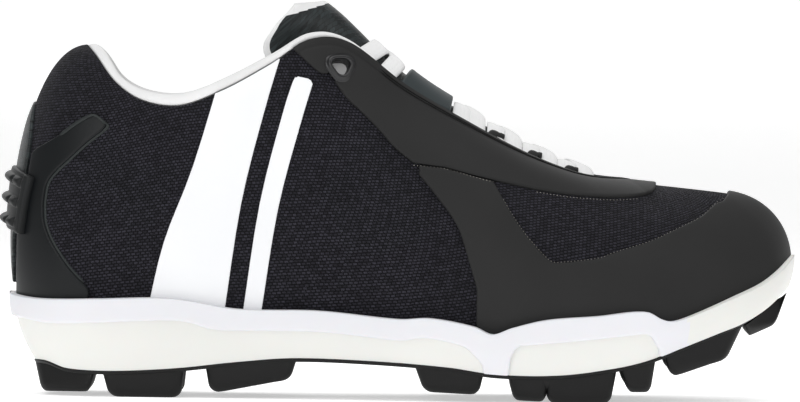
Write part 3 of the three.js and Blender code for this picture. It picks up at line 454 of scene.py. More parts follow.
# Soft creases of the cloth where the foot bends and where the ankle opens: place on the length and
# height share at both ends, half width and depth
Crease = namedtuple("Crease", "at up to_at to_up wide deep")
CREASES = [
    Crease(0.655, 0.30, 0.70, 0.38, 6 * MM, 0.45 * MM),
    Crease(0.705, 0.20, 0.755, 0.36, 7 * MM, 0.4 * MM),
    Crease(0.40, 0.12, 0.47, 0.34, 10 * MM, 0.5 * MM),
    Crease(0.13, 0.10, 0.17, 0.55, 12 * MM, 0.45 * MM),
    Crease(0.545, 0.30, 0.50, 0.50, 9 * MM, 0.4 * MM),
    Crease(0.86, 0.20, 0.94, 0.22, 10 * MM, -0.35 * MM),
]


def spot(row, tall=INSTEP_HEIGHT):
    """A point of the side view from a table's row."""
    return np.array([row[0] * LENGTH, HEEL_STACK + row[1] * tall])


def spots(rows, tall=INSTEP_HEIGHT):
    return np.array([spot(row, tall) for row in rows])


def near_line(points, start, end):
    """Distance in the side view from points to a straight stretch, and the share along it."""
    way = end - start
    share = np.clip(((points - start) @ way) / (way @ way), 0, 1)
    return np.linalg.norm(points - start - share[..., None] * way, axis=-1), share


def creased(points):
    """How far each point of the upper sinks in for the creases."""
    sunk = np.zeros(points.shape[:-1])
    for crease in CREASES:
        start = spot((crease.at, crease.up))
        end = spot((crease.to_at, crease.to_up))
        away, share = near_line(points[..., [0, 2]], start, end)
        sunk += crease.deep * np.exp(-((away / crease.wide) ** 2)) * (0.6 + 0.4 * np.sin(np.pi * share))
    return sunk


class Surface:
    """A grid of points with their outward directions and cloth lengths, rows up, columns round."""

    def __init__(self, points, wrap=True, normals=None):
        self.points = points
        self.wrap = wrap
        self.normals = grid_normals(points, wrap) if normals is None else normals
        steps = np.linalg.norm(np.diff(points, axis=1, append=points[:, :1]), axis=-1)
        round_ = np.cumsum(steps[len(points) // 3])
        round_ = np.concatenate([[0], round_[:-1]])
        if wrap:
            round_ = np.minimum(round_, steps[len(points) // 3].sum() - round_)
        rise = np.linalg.norm(np.diff(points, axis=0, prepend=points[:1]), axis=-1)
        rise = np.cumsum(rise, axis=0)
        self.lengths = np.stack([np.broadcast_to(round_, rise.shape), rise], -1)

    def raised(self, height):
        return self.points + self.normals * np.asarray(height)[..., None]


def make_skin():
    """The upper's outer face with its creases."""
    points = face(PLACES[None, :], LEVELS[:, None])
    normals = grid_normals(points)
    top = normals[-1] + normals[-1][MIRROR]
    normals[-1] = np.where(ON_RIDGE[:, None], unit(top), normals[-1])
    seat = points.copy()
    points = points - normals * creased(seat)[..., None] * step_up(LEVELS, 0, 0.06)[:, None, None]
    return Surface(points, True, normals)


SKIN = make_skin()
SIDE_VIEW = SKIN.points[..., [0, 2]]


# Meshes


def make_object(name, points, faces, lengths=None):
    """A mesh object from points in the tables' lengths, shifted to the frame."""
    mesh = bpy.data.meshes.new(name)
    points = np.asarray(points, float) + SHIFT
    mesh.from_pydata(points.tolist(), [], [tuple(int(i) for i in face_) for face_ in faces])
    if lengths is not None:
        layer = mesh.uv_layers.new(name="cloth")
        corners = np.empty(len(mesh.loops), int)
        mesh.loops.foreach_get("vertex_index", corners)
        layer.data.foreach_set("uv", (np.asarray(lengths)[corners] / MM).ravel())
    mesh.shade_smooth()
    mesh.update()
    piece = bpy.data.objects.new(name, mesh)
    bpy.context.collection.objects.link(piece)
    return piece


def grid_faces(rows, columns, wrap_columns=False, wrap_rows=False):
    """Quads of a grid of points, facing the side from which its columns run right and rows up."""
    row = np.arange(rows if wrap_rows else rows - 1)[:, None]
    column = np.arange(columns if wrap_columns else columns - 1)[None, :]
    a = row * columns + column
    b = row * columns + (column + 1) % columns
    c = (row + 1) % rows * columns + (column + 1) % columns
    d = (row + 1) % rows * columns + column
    return np.stack([a, b, c, d], -1).reshape(-1, 4)


def joined(parts):
    """One list of points, faces and lengths from several."""
    points, faces, lengths, first = [], [], [], 0
    for part_points, part_faces, part_lengths in parts:
        part_points = np.asarray(part_points, float).reshape(-1, 3)
        points.append(part_points)
        faces.extend(tuple(int(i) + first for i in face_) for face_ in part_faces)
        if part_lengths is None:
            part_lengths = part_points[:, [0, 2]]
        lengths.append(np.asarray(part_lengths, float).reshape(-1, 2))
        first += len(part_points)
    return np.concatenate(points), faces, np.concatenate(lengths)


def finish_piece(piece, materials, nodes=()):
    """Give a piece its materials, hang it on the root body, and hide the nodes of the solid model that it
    stands for.
    """
    for material in materials:
        piece.data.materials.append(material)
    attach(piece, "root")
    if nodes:
        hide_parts(*nodes)


FAR = 0.4  # further than the shoe is long


class Area:
    """An area in the side view, at points: how far inside it they are, and the way further in."""

    def __init__(self, value, way):
        self.value = value
        self.way = way

    def __and__(self, other):
        less = self.value < other.value
        return Area(np.minimum(self.value, other.value), np.where(less[..., None], self.way, other.way))

    def __invert__(self):
        return Area(-self.value, -self.way)

    def grown(self, by):
        return Area(self.value + by, self.way)

    def only(self, where):
        return Area(np.where(where, self.value, -FAR), self.way)


def inside_by(points, outline):
    """The area of a closed outline."""
    outline = np.asarray(outline, float)
    nearest = np.full(points.shape[:-1], np.inf)
    away = np.zeros(points.shape)
    inside = np.zeros(points.shape[:-1], bool)
    for start, end in zip(outline, np.roll(outline, -1, 0)):
        if np.allclose(start, end):
            continue
        distance, share = near_line(points, start, end)
        closer = distance < nearest
        nearest = np.where(closer, distance, nearest)
        away = np.where(closer[..., None], points - start - share[..., None] * (end - start), away)
        if start[1] != end[1]:
            rising = (start[1] > points[..., 1]) != (end[1] > points[..., 1])
            cross = start[0] + (points[..., 1] - start[1]) * (end[0] - start[0]) / (end[1] - start[1])
            inside ^= rising & (points[..., 0] < cross)
    sign = np.where(inside, 1.0, -1.0)
    return Area(nearest * sign, unit(away) * sign[..., None])


RIM_STEPS = 4
SNAP = 0.15 * MM  # points this near an outline are moved onto it


def cut_panel(surface, keep, height, edge, foot=0.05 * MM):
    """The part of a surface in the area to keep, raised by height, with a rounded rim."""
    rows, columns = keep.value.shape
    value = (keep.value - edge).ravel().copy()
    base = surface.points.reshape(-1, 3).copy()
    normals = surface.normals.reshape(-1, 3)
    way = keep.way.reshape(-1, 2)
    slope = np.column_stack([way[:, 0], np.zeros(len(way)), way[:, 1]])
    slope -= normals * (slope * normals).sum(-1)[:, None]
    steep = np.maximum((slope * slope).sum(-1), 0.1)
    height = np.broadcast_to(height, keep.value.shape).ravel()
    snap = np.abs(value) < SNAP
    base[snap] -= (value[snap] / steep[snap])[:, None] * slope[snap]
    value[snap] = 0
    quads = grid_faces(rows, columns, surface.wrap)
    inside = (value[quads] >= 0).all(1)
    mixed = (value[quads] > 0).any(1) & ~inside
    faces = [tuple(quad) for quad in quads[inside]]
    cuts, cut_points = {}, []

    def cut(a, b):
        key = (min(a, b), max(a, b))
        if key not in cuts:
            cuts[key] = len(value) + len(cut_points)
            cut_points.append((a, b, value[a] / (value[a] - value[b])))
        return cuts[key]

    for quad in quads[mixed]:
        for triangle in ((quad[0], quad[1], quad[2]), (quad[0], quad[2], quad[3])):
            corners = []
            for a, b in zip(triangle, triangle[1:] + triangle[:1]):
                if value[a] >= 0:
                    corners.append(a)
                if value[a] * value[b] < 0:
                    corners.append(cut(a, b))
            if len(corners) > 2 and any(c < len(value) and value[c] > 0 for c in corners):
                faces.append(tuple(corners))
    if cut_points:
        a, b, t = (np.array(column) for column in zip(*cut_points))
        t = t[:, None]

        def blend(array):
            return np.concatenate([array, array[a] * (1 - t) + array[b] * t])

        base, normals, slope = blend(base), unit(blend(normals)), blend(slope)
        height = blend(height[:, None])[:, 0]
        lengths = blend(surface.lengths.reshape(-1, 2))
        value = np.concatenate([value, np.zeros(len(a))])
    else:
        lengths = surface.lengths.reshape(-1, 2)
    used = np.unique([c for face_ in faces for c in face_])
    index = np.full(len(value), -1)
    index[used] = np.arange(len(used))
    faces = [tuple(index[list(face_)]) for face_ in faces]
    base, normals, slope, value = base[used], normals[used], slope[used], value[used]
    height, lengths = height[used], lengths[used]
    points = base + normals * height[:, None]
    once = {}
    for face_ in faces:
        for a, b in zip(face_, face_[1:] + face_[:1]):
            if (b, a) in once:
                del once[(b, a)]
            else:
                once[(a, b)] = True
    border = [(a, b) for a, b in once if abs(value[a]) < 1e-9 and abs(value[b]) < 1e-9]
    if not border:
        return points, faces, lengths
    ends = np.unique(border)
    out = -unit(slope[ends])
    ring_index = {end: i for i, end in enumerate(ends)}
    rings, ring_lengths = [], []
    for step in range(1, RIM_STEPS + 1):
        turn = math.pi / 2 * step / RIM_STEPS
        drop = edge * (1 - math.cos(turn))
        rings.append(
            base[ends] + normals[ends] * (height[ends] - drop)[:, None] + out * edge * math.sin(turn)
        )
        ring_lengths.append(lengths[ends])
    rings.append(base[ends] + normals[ends] * foot + out * edge)
    ring_lengths.append(lengths[ends])
    count = len(points)
    for a, b in border:
        low = [a] + [count + k * len(ends) + ring_index[a] for k in range(len(rings))]
        high = [b] + [count + k * len(ends) + ring_index[b] for k in range(len(rings))]
        for k in range(len(rings)):
            faces.append((low[k + 1], high[k + 1], high[k], low[k]))
    return np.concatenate([points, *rings]), faces, np.concatenate([lengths, *ring_lengths])


# Materials


def add_node(tree, kind, inputs=None, **settings):
    """A node of a kind, with its settings, and its inputs set or linked."""
    made = tree.nodes.new(kind)
    for name, value in settings.items():
        setattr(made, name, value)
    for socket, value in (inputs or {}).items():
        if isinstance(value, bpy.types.NodeSocket):
            tree.links.new(value, made.inputs[socket])
        else:
            made.inputs[socket].default_value = value
    return made


def new_material(name, **surface):
    """A material with values set on the shader's own sockets."""
    material = bpy.data.materials.new(name)
    material.use_nodes = True
    tree = material.node_tree
    shader = tree.nodes["Principled BSDF"]
    for socket, value in surface.items():
        shader.inputs[socket.replace("_", " ")].default_value = value
    return material, tree, shader


def full(colour):
    """A colour with its opacity."""
    return (*colour, 1.0)


def darker(colour, share):
    return tuple(c * share for c in colour)


def speckled(tree, shader, colour, low, high, size, soft=0.5):
    """Colour that drifts a little over a patch of a given size in metres."""
    place = add_node(tree, "ShaderNodeTexCoord")
    cloud = add_node(
        tree, "ShaderNodeTexNoise",
        {"Vector": place.outputs["Object"], "Scale": 1 / size, "Detail": 5.0, "Roughness": soft},
    )
    ramp = add_node(tree, "ShaderNodeValToRGB", {"Fac": cloud.outputs["Fac"]})
    ramp.color_ramp.elements[0].position, ramp.color_ramp.elements[1].position = 0.35, 0.68
    ramp.color_ramp.elements[0].color = full(darker(colour, low))
    ramp.color_ramp.elements[1].color = full(tuple(min(c * high, 1) for c in colour))
    tree.links.new(ramp.outputs["Color"], shader.inputs["Base Color"])
    return place


def grain_bump(tree, shader, place, size, depth, strength=0.6, detail=3.0):
    """Fine grain of a real size in metres, as bump."""
    grain = add_node(
        tree, "ShaderNodeTexNoise",
        {"Vector": place.outputs["Object"], "Scale": 1 / size, "Detail": detail, "Roughness": 0.6},
    )
    bump = add_node(
        tree, "ShaderNodeBump",
        {"Height": grain.outputs["Fac"], "Distance": depth, "Strength": strength},
    )
    tree.links.new(bump.outputs["Normal"], shader.inputs["Normal"])


def woven_mesh(colours, sizes):
    """Polyester mesh cloth, woven of thick threads: matt, with raised floats over dark gaps.

    The floats are drawn at about the photo's own pitch, which a render of this size can just show.
    """
    material, tree, shader = new_material(
        "Woven polyester mesh", Roughness=0.8, IOR=1.5, Specular_IOR_Level=0.12,
        Sheen_Weight=0.02, Sheen_Roughness=0.5,
    )
    cloth = add_node(tree, "ShaderNodeUVMap", uv_map="cloth")
    wobble = add_node(
        tree, "ShaderNodeTexNoise",
        {"Vector": cloth.outputs["UV"], "Scale": 0.35, "Detail": 2.0, "Roughness": 0.5},
    )
    shifted = add_node(
        tree, "ShaderNodeVectorMath", {0: wobble.outputs["Color"], 1: (0.5, 0.5, 0.5)},
        operation="MULTIPLY",
    )
    placed = add_node(
        tree, "ShaderNodeVectorMath", {0: cloth.outputs["UV"], 1: shifted.outputs["Vector"]},
        operation="ADD",
    )
    turned = add_node(
        tree, "ShaderNodeMapping",
        {"Vector": placed.outputs["Vector"], "Rotation": (0, 0, math.radians(-9))},
    )
    float_width = sizes.weave / MM
    floats = add_node(
        tree, "ShaderNodeTexBrick",
        {
            "Vector": turned.outputs["Vector"], "Scale": 1.0, "Mortar Size": 0.32, "Mortar Smooth": 1.0,
            "Brick Width": float_width, "Row Height": 0.68 * float_width,
            "Color1": full(colours.thread), "Color2": full(darker(colours.thread, 0.4)),
            "Mortar": full(colours.cloth),
        },
        offset=0.5, squash=1.0,
    )
    drift = add_node(
        tree, "ShaderNodeTexNoise",
        {"Vector": cloth.outputs["UV"], "Scale": 0.05, "Detail": 3.0, "Roughness": 0.6},
    )
    worn = add_node(tree, "ShaderNodeMath", {0: drift.outputs["Fac"], 1: 0.45}, operation="MULTIPLY")
    shade = add_node(
        tree, "ShaderNodeMix",
        {"Factor": worn.outputs["Value"], 6: floats.outputs["Color"], 7: full(colours.cloth)},
        data_type="RGBA",
    )
    tree.links.new(shade.outputs[2], shader.inputs["Base Color"])
    bump = add_node(
        tree, "ShaderNodeBump",
        {"Height": floats.outputs["Fac"], "Distance": 0.35 * MM, "Strength": 0.9},
        invert=True,
    )
    tree.links.new(bump.outputs["Normal"], shader.inputs["Normal"])
    return material


def smooth_synthetic(name, colour, roughness, size=0.5 * MM, depth=0.05 * MM, drift=0.9):
    """Microfibre with a smooth polyurethane coat: satin to matt, with a leather-like fine grain."""
    material, tree, shader = new_material(name, Roughness=roughness, IOR=1.48, Specular_IOR_Level=0.25)
    place = speckled(tree, shader, colour, drift, 2 - drift, 45 * MM)
    grain_bump(tree, shader, place, size, depth)
    return material


def coated_twill(name, colour, sizes):
    """Coated twill: a small check of slanting ribs, satin, each square catching the light apart.

    The squares are drawn coarser than the real cloth's, so that a render shows them.
    """
    material, tree, shader = new_material(name, Roughness=0.4, IOR=1.5, Specular_IOR_Level=0.3)
    cloth = add_node(tree, "ShaderNodeUVMap", uv_map="cloth")
    turned = add_node(
        tree, "ShaderNodeMapping",
        {"Vector": cloth.outputs["UV"], "Rotation": (0, 0, math.radians(38))},
    )
    check = add_node(
        tree, "ShaderNodeTexBrick",
        {
            "Vector": turned.outputs["Vector"], "Scale": 1.0, "Mortar Size": 0.14, "Mortar Smooth": 0.8,
            "Brick Width": 1.5 * sizes.weave / MM, "Row Height": 0.8 * sizes.weave / MM,
            "Color1": full(tuple(min(1, c * 2.2) for c in colour)),
            "Color2": full(darker(colour, 0.6)), "Mortar": full(darker(colour, 0.35)),
        },
        offset=0.5,
    )
    tree.links.new(check.outputs["Color"], shader.inputs["Base Color"])
    bump = add_node(
        tree, "ShaderNodeBump",
        {"Height": check.outputs["Fac"], "Distance": 0.2 * MM, "Strength": 0.7},
        invert=True,
    )
    tree.links.new(bump.outputs["Normal"], shader.inputs["Normal"])
    return material


def moulded_foam(name, colour, roughness=0.5):
    """Moulded EVA foam: a closed skin, satin, with faint pores."""
    material, tree, shader = new_material(
        name, Roughness=roughness, IOR=1.45, Specular_IOR_Level=0.35,
        Subsurface_Weight=0.08, Subsurface_Scale=2 * MM,
    )
    place = speckled(tree, shader, colour, 0.975, 1.02, 60 * MM)
    grain_bump(tree, shader, place, 0.8 * MM, 0.04 * MM, strength=0.4)
    return material


def moulded_rubber(name, colour, roughness=0.55):
    """Moulded rubber: matt to satin, with the fine grain of a sand-blasted mould."""
    material, tree, shader = new_material(name, Roughness=roughness, IOR=1.52, Specular_IOR_Level=0.25)
    place = speckled(tree, shader, colour, 0.85, 1.2, 30 * MM, soft=0.7)
    grain_bump(tree, shader, place, 0.45 * MM, 0.05 * MM, detail=4.0)
    return material


def brushed_knit(name, colour, pitch=0.9, depth=0.12 * MM):
    """Brushed polyester knit over foam: soft and matt, with fine wales.

    The wales are drawn coarser than real ones, so that a render shows them.
    """
    material, tree, shader = new_material(
        name, Roughness=0.9, IOR=1.45, Specular_IOR_Level=0.2, Sheen_Weight=0.3, Sheen_Roughness=0.6,
    )
    speckled(tree, shader, colour, 0.96, 1.03, 25 * MM)
    cloth = add_node(tree, "ShaderNodeUVMap", uv_map="cloth")
    wales = add_node(
        tree, "ShaderNodeTexBrick",
        {
            "Vector": cloth.outputs["UV"], "Scale": 1.0, "Mortar Size": 0.12 * pitch,
            "Mortar Smooth": 1.0, "Brick Width": pitch, "Row Height": 0.6 * pitch,
        },
    )
    bump = add_node(
        tree, "ShaderNodeBump",
        {"Height": wales.outputs["Fac"], "Distance": depth, "Strength": 0.5},
        invert=True,
    )
    tree.links.new(bump.outputs["Normal"], shader.inputs["Normal"])
    return material


def gloss_plastic(name, colour, roughness=0.28):
    """Moulded acetal: smooth and glossy."""
    material, tree, shader = new_material(name, Roughness=roughness, IOR=1.48)
    place = speckled(tree, shader, colour, 0.9, 1.1, 8 * MM)
    grain_bump(tree, shader, place, 0.6 * MM, 0.01 * MM, strength=0.3)
    return material


MATERIALS = {}


def material_of(name, build, *arguments, **settings):
    """A material that is built once and then shared."""
    if name not in MATERIALS:
        MATERIALS[name] = build(*arguments, **settings)
    return MATERIALS[name]


# Pieces of the upper

EYELET_CENTRE = spot((0.424, 0.877))


def eyelet_turn(turn):
    """Share of the eyelet's radius round its softly three-sided hole."""
    return 1 + 0.11 * np.cos(3 * (turn - math.radians(38)))


def round_eyelet(points, radius):
    """The area outside the eyelet's edge."""
    away = points - EYELET_CENTRE
    turn = np.arctan2(away[..., 1], away[..., 0])
    return Area(np.linalg.norm(away, axis=-1) - radius * eyelet_turn(turn), unit(away))


def eyelet_place(side):
    """Row and column of the skin's grid nearest the eyelet of one side."""
    half = slice(0, COLUMNS // 2) if side < 0 else slice(COLUMNS // 2, COLUMNS)
    near = np.linalg.norm(SIDE_VIEW[:, half] - EYELET_CENTRE, axis=-1)
    row, column = np.unravel_index(near.argmin(), near.shape)
    return row, column + half.start


class CLEAT_OT_upper(bpy.types.Operator):
    """Woven upper with its inner face, open at collar, throat and bottom"""

    bl_idname = "cleat.upper"
    bl_label = "Upper"

    def execute(self, context):
        colours, sizes = context.scene.cleat_colours, context.scene.cleat_sizes
        inner = SKIN.raised(-WALL)[::3]
        rows = np.concatenate([SKIN.points, inner[::-1]])
        inner_lengths = SKIN.lengths[::3]
        lengths = np.concatenate([SKIN.lengths, inner_lengths[::-1]])
        faces = grid_faces(len(rows), COLUMNS, True, True)
        column, row = faces[:, 0] % COLUMNS, faces[:, 0] // COLUMNS
        middles = rows.reshape(-1, 3)[faces].mean(1)[:, [0, 2]]
        hole = round_eyelet(middles, EYELET + 0.8 * MM).value < 0
        top = row == len(LEVELS) - 1
        over_ridge = top & ON_RIDGE[column] & ON_RIDGE[(column + 1) % COLUMNS]
        kept = ~hole & ~over_ridge
        piece = make_object("upper_cloth", rows.reshape(-1, 3), faces[kept], lengths.reshape(-1, 2))
        finish_piece(
            piece,
            [
                material_of("mesh", woven_mesh, colours, sizes),
                # the inner knit face is coloured near black as painted shade: the inside of the shoe, seen
                # through the eyelet, lies in shadow
                material_of("inside", brushed_knit, "Knitted vamp lining", linear("#1B1B1D")),
            ],
            ["upper"],
        )
        # the inner faces take the second material, the lining darkened as painted shade
        inside = (row[kept] >= len(LEVELS)).astype(np.int32)
        piece.data.polygons.foreach_set("material_index", inside)
        return {"FINISHED"}


TUCK = 2 * MM  # how far the overlays reach down behind the foam band's edge


def sole_border(start, end):
    """The foam band's upper edge from one place to another, drawn down behind it."""
    places = [start] + [at for at, _ in EDGE if start < at < end] + [end]
    return np.array([(at * LENGTH, HEEL_STACK * edge_up(at) - TUCK) for at in places])


def outline(*stretches):
    """One closed outline from stretches of points."""
    return np.concatenate([np.atleast_2d(stretch) for stretch in stretches])


HIGH = 1.8  # above everything, as a share of the instep height


def mudguard_outline():
    return outline(
        sole_border(0.598, 1), spot((1.1, 0.3)), spot((1.1, 0.55)),
        smooth_line(spots(VAMP), 40)[::-1], spots(SEAM)[::-1],
        smooth_line(spots(GUARD_REAR), 16)[::-1],
    )


def eyestay_outline():
    return outline(
        smooth_line(spots(EYESTAY_REAR), 32)[::-1], spots(SEAM)[1:] + (0, 0.2 * MM),
        smooth_line(spots(EYESTAY_FRONT), 16), spot((0.825, HIGH)), spot((0.35, HIGH)),
    )


def counter_outline():
    back = smooth_line(spots(BACK_LINE[:3], HEEL_HEIGHT), 8) + (0.5 * MM, 0)
    return outline(
        smooth_line(spots(COUNTER, HEEL_HEIGHT), 60)[1:-1], sole_border(0.0225, 0.117)[::-1], back,
    )


def back_outline():
    return outline(
        (-0.1 * LENGTH, edge_height(0) - TUCK), (0.0214 * LENGTH, edge_height(0) - TUCK),
        smooth_line(spots(BACK_LINE, HEEL_HEIGHT), 20), spot((-0.1, 0.84), HEEL_HEIGHT),
    )


class CLEAT_OT_overlays(bpy.types.Operator):
    """Smooth overlays of toe, throat and heel and the strip up the back"""

    bl_idname = "cleat.overlays"
    bl_label = "Overlays"

    def execute(self, context):
        colours, sizes = context.scene.cleat_colours, context.scene.cleat_sizes
        smooth = material_of("overlay", smooth_synthetic, "Coated microfibre", colours.overlay, 0.62)
        satin = material_of("counter", smooth_synthetic, "Satin coated microfibre", colours.counter, 0.42)
        twill = material_of("twill", coated_twill, "Coated twill", colours.twill, sizes)
        edge = sizes.soft_edge

        guard = inside_by(SIDE_VIEW, mudguard_outline())
        piece = make_object("toe_guard", *cut_panel(SKIN, guard, OVERLAY, edge))
        finish_piece(piece, [smooth], ["mudguard"])

        stay = inside_by(SIDE_VIEW, eyestay_outline())
        stay = stay & round_eyelet(SIDE_VIEW, EYELET - edge + 0.3 * MM)
        from_edge = SKIN.lengths[-1, :, 1] - SKIN.lengths[..., 1]
        behind = (PLACES < THROAT + 0.3) | (PLACES > AROUND - THROAT - 0.3)
        seam = np.exp(-(((from_edge - 2.6 * MM) / (0.45 * MM)) ** 2)) * behind
        fold = 0.25 * MM * step_up(2.4 * MM - from_edge, 0, 0.6 * MM)
        height = OVERLAY - 0.5 * MM * seam + fold * ~ON_RIDGE
        piece = make_object("throat_stay", *cut_panel(SKIN, stay, height, edge))
        finish_piece(piece, [smooth], ["eyestay"])

        counter = inside_by(SIDE_VIEW, counter_outline())
        for side, sign in (("lateral", -1), ("medial", 1)):
            keep = counter.only(sign * SKIN.points[..., 1] > 0)
            piece = make_object(f"heel_counter_{side}_overlay", *cut_panel(SKIN, keep, OVERLAY, edge))
            finish_piece(piece, [satin], [f"heel_counter_{side}"])

        thin = 0.25 + 0.75 * step_up(spot((0, 0.84), HEEL_HEIGHT)[1] - SIDE_VIEW[..., 1], 0, 14 * MM)
        piece = make_object(
            "back_strip", *cut_panel(SKIN, inside_by(SIDE_VIEW, back_outline()), OVERLAY * thin, edge),
        )
        finish_piece(piece, [twill], ["backstay"])
        return {"FINISHED"}


class CLEAT_OT_quarter_panels(bpy.types.Operator):
    """White film panels welded on the quarters"""

    bl_idname = "cleat.quarter_panels"
    bl_label = "Quarter panels"

    def execute(self, context):
        colours = context.scene.cleat_colours
        film = material_of(
            "film", smooth_synthetic, "Welded film", colours.film, 0.45, size=1.1 * MM,
            depth=0.06 * MM, drift=0.98,
        )
        for name, rows in (("panel", PANEL), ("bar", BAR)):
            points = spots(rows)
            drawn = outline(smooth_line(points[:4], 12), smooth_line(points[4:], 12))
            keep = inside_by(SIDE_VIEW, drawn)
            for side, sign in (("lateral", -1), ("medial", 1)):
                one = keep.only(sign * SKIN.points[..., 1] > 0)
                piece = make_object(
                    f"film_{name}_{side}", *cut_panel(SKIN, one, FILM, 0.3 * MM),
                )
                finish_piece(piece, [film], [f"quarter_{name}_{side}"])
        return {"FINISHED"}


class CLEAT_OT_heel_ribs(bpy.types.Operator):
    """Moulded heel piece with three ribs between two upright bars"""

    bl_idname = "cleat.heel_ribs"
    bl_label = "Heel ribs"

    def execute(self, context):
        colours = context.scene.cleat_colours
        rise = np.linspace(0, 1, 91)[:, None]
        turn = np.linspace(-1, 1, 97)[None, :]
        surface = Surface(face(1.22 * turn, 0.25 + 0.18 * rise), wrap=False)
        bar = step_up(np.abs(turn), 0.85, 0.89)
        wave = np.clip(np.sin(np.pi * (6 * rise - 0.5)), 0, None) ** 0.6 * (1 - rise / 4)
        waist = 1 - 0.6 * np.exp(-(((np.abs(turn) - 0.6) / 0.035) ** 2))
        waist -= 0.9 * np.exp(-(((np.abs(turn) - 0.83) / 0.03) ** 2))
        rib = RIB_RISE * wave * (1 - 0.35 * turn**2) * waist
        height = HEEL_SEAT + RIB_BASE + rib * (1 - bar) + RIB_BAR * bar
        away = np.minimum(np.minimum(rise, 1 - rise) * 17 * MM, (1 - np.abs(turn)) * 20 * MM)
        height = height - RIB_EDGE * (1 - rounding(away / RIB_EDGE))
        rows, columns = height.shape
        top = surface.raised(height)
        low = surface.raised(np.full(height.shape, HEEL_SEAT - 0.8 * MM))
        rim = np.concatenate([
            np.arange(columns), np.arange(1, rows) * columns + columns - 1,
            (rows - 1) * columns + np.arange(columns - 2, -1, -1), np.arange(rows - 2, 0, -1) * columns,
        ])
        faces = [tuple(quad) for quad in grid_faces(rows, columns)]
        count = rows * columns
        for a, b in zip(rim, np.roll(rim, -1)):
            faces.append((b, a, a + count, b + count))
        points = np.concatenate([top.reshape(-1, 3), low.reshape(-1, 3)])
        lengths = np.concatenate([surface.lengths.reshape(-1, 2)] * 2)
        piece = make_object("heel_moulding", points, faces, lengths)
        finish_piece(
            piece,
            [material_of("moulding", moulded_rubber, "Moulded heel rubber", colours.moulding, 0.5)],
            ["heel_ribs"],
        )
        return {"FINISHED"}


# Sole


def sole_wall(share, inset=0.0, places=PLACES):
    """Points of the sole's side at a share of its height, drawn in by inset."""
    foot = on_curve(FOOT, places)
    out = outward(places)
    rim = RIM * rim_share(foot[:, 0] / LENGTH)
    edge = foot + out * rim[:, None]
    low, high = underside(edge[:, 0]), edge_height(edge[:, 0])
    drawn = inset + TAPER * taper_share(foot[:, 0] / LENGTH) * np.maximum(1 - share, 0) ** TAPER_CURVE
    points = foot + out * (rim - drawn)[:, None]
    points[:, 2] = low + share * (high - low)
    return points


SOLE_ROWS = 40
TOE_BAND_FROM = 0.862  # the band is in the lower foam's colour from here to the toe
FOAM_LAP = -0.035  # how far the foam's edge laps the plate, as a share of the wall's height


def band_surface(edge):
    """The midsole's side from its underside over the rounded top edge and in to the upper."""
    rows = [sole_wall(share) for share in np.linspace(FOAM_LAP, 1, SOLE_ROWS)]
    top = rows[-1][:, 2]
    low = rows[0][:, 2]
    for i, row in enumerate(rows):
        row[:, 2] = low + (top - edge - low) * i / (SOLE_ROWS - 1)
    out = outward(PLACES)
    for step in range(1, 6):
        turn = math.pi / 2 * step / 5
        row = sole_wall(1.0, edge * (1 - math.cos(turn)))
        row[:, 2] = top - edge + edge * math.sin(turn)
        rows.append(row)
    inner = np.array([
        [np.interp(z, SKIN.points[:30, column, 2], SKIN.points[:30, column, axis]) for axis in (0, 1)]
        for column, z in enumerate(top)
    ])
    last = rows[-1]
    for share in (0.35, 0.7, 1.02):
        row = last.copy()
        row[:, :2] = last[:, :2] * (1 - share) + inner * share
        row[:, 2] = top
        rows.append(row)
    deep = rows[-1].copy()
    deep[:, :2] -= out[:, :2] * 0.5 * MM
    deep[:, 2] -= 3 * MM
    rows.append(deep)
    return Surface(np.array(rows))


class CLEAT_OT_midsole(bpy.types.Operator):
    """Foam band round the shoe and the two lower foam parts"""

    bl_idname = "cleat.midsole"
    bl_label = "Midsole"

    def execute(self, context):
        colours, sizes = context.scene.cleat_colours, context.scene.cleat_sizes
        band_foam = material_of("band", moulded_foam, "Moulded foam band", colours.band)
        low_foam = material_of(
            "foam", moulded_foam, "Moulded foam block", colours.foam, roughness=0.42,
        )
        edge = sizes.foam_edge

        def low_line(rows, count):
            return smooth_line(np.array([(at * LENGTH, up * HEEL_STACK) for at, up in rows]), count)

        rear = low_line(MIDSOLE_REAR, 60)
        rear = outline(rear, (rear[0][0], rear[-1][1]))
        fore = low_line(MIDSOLE_FORE, 48)
        surface = band_surface(1.4 * MM)
        view = surface.points[..., [0, 2]]
        outside = ~inside_by(view, rear) & ~inside_by(view, fore)
        outside.value[SOLE_ROWS:] = FAR
        piece = make_object(
            "midsole_band", *cut_panel(surface, outside, 0.0, edge, foot=-(LOWER_STEP + 1 * MM)),
        )
        finish_piece(piece, [band_foam, low_foam], ["midsole_frame"])
        toe_part = TOE_BAND_FROM * LENGTH + SHIFT[0]
        for polygon in piece.data.polygons:
            polygon.material_index = int(polygon.center.x > toe_part)
        rows = np.array([sole_wall(share, LOWER_STEP) for share in np.linspace(FOAM_LAP, 0.9, SOLE_ROWS)])
        lower = Surface(rows)
        view = lower.points[..., [0, 2]]
        for name, shape, node in (("rear", rear, "midsole_rear"), ("fore", fore, "midsole_fore")):
            keep = inside_by(view, shape).grown(1.2 * MM)
            piece = make_object(
                f"midsole_{name}_block", *cut_panel(lower, keep, 0.0, 0.1 * MM, foot=-1 * MM),
            )
            finish_piece(piece, [low_foam], [node])
        return {"FINISHED"}


def plate_outline(drop, inset, places):
    """The plate's outline under the foam, dropped and drawn in."""
    points = sole_wall(0.0, inset + LOWER_STEP, places)
    points[:, 2] -= drop
    return points


def plate_edge(x, side):
    """Where the plate's lower edge lies across the shoe at a place of its length."""
    half = COLUMNS // 2
    ring = sole_wall(0.0, PLATE_INSET + 1 * MM)
    line = ring[: half + 1] if side < 0 else np.concatenate([ring[:1], ring[: half - 1 : -1]])
    order = np.argsort(line[:, 0])
    return np.interp(x, line[order, 0], line[order, 1]) - side * 1 * MM


CORNER_STEPS = 6


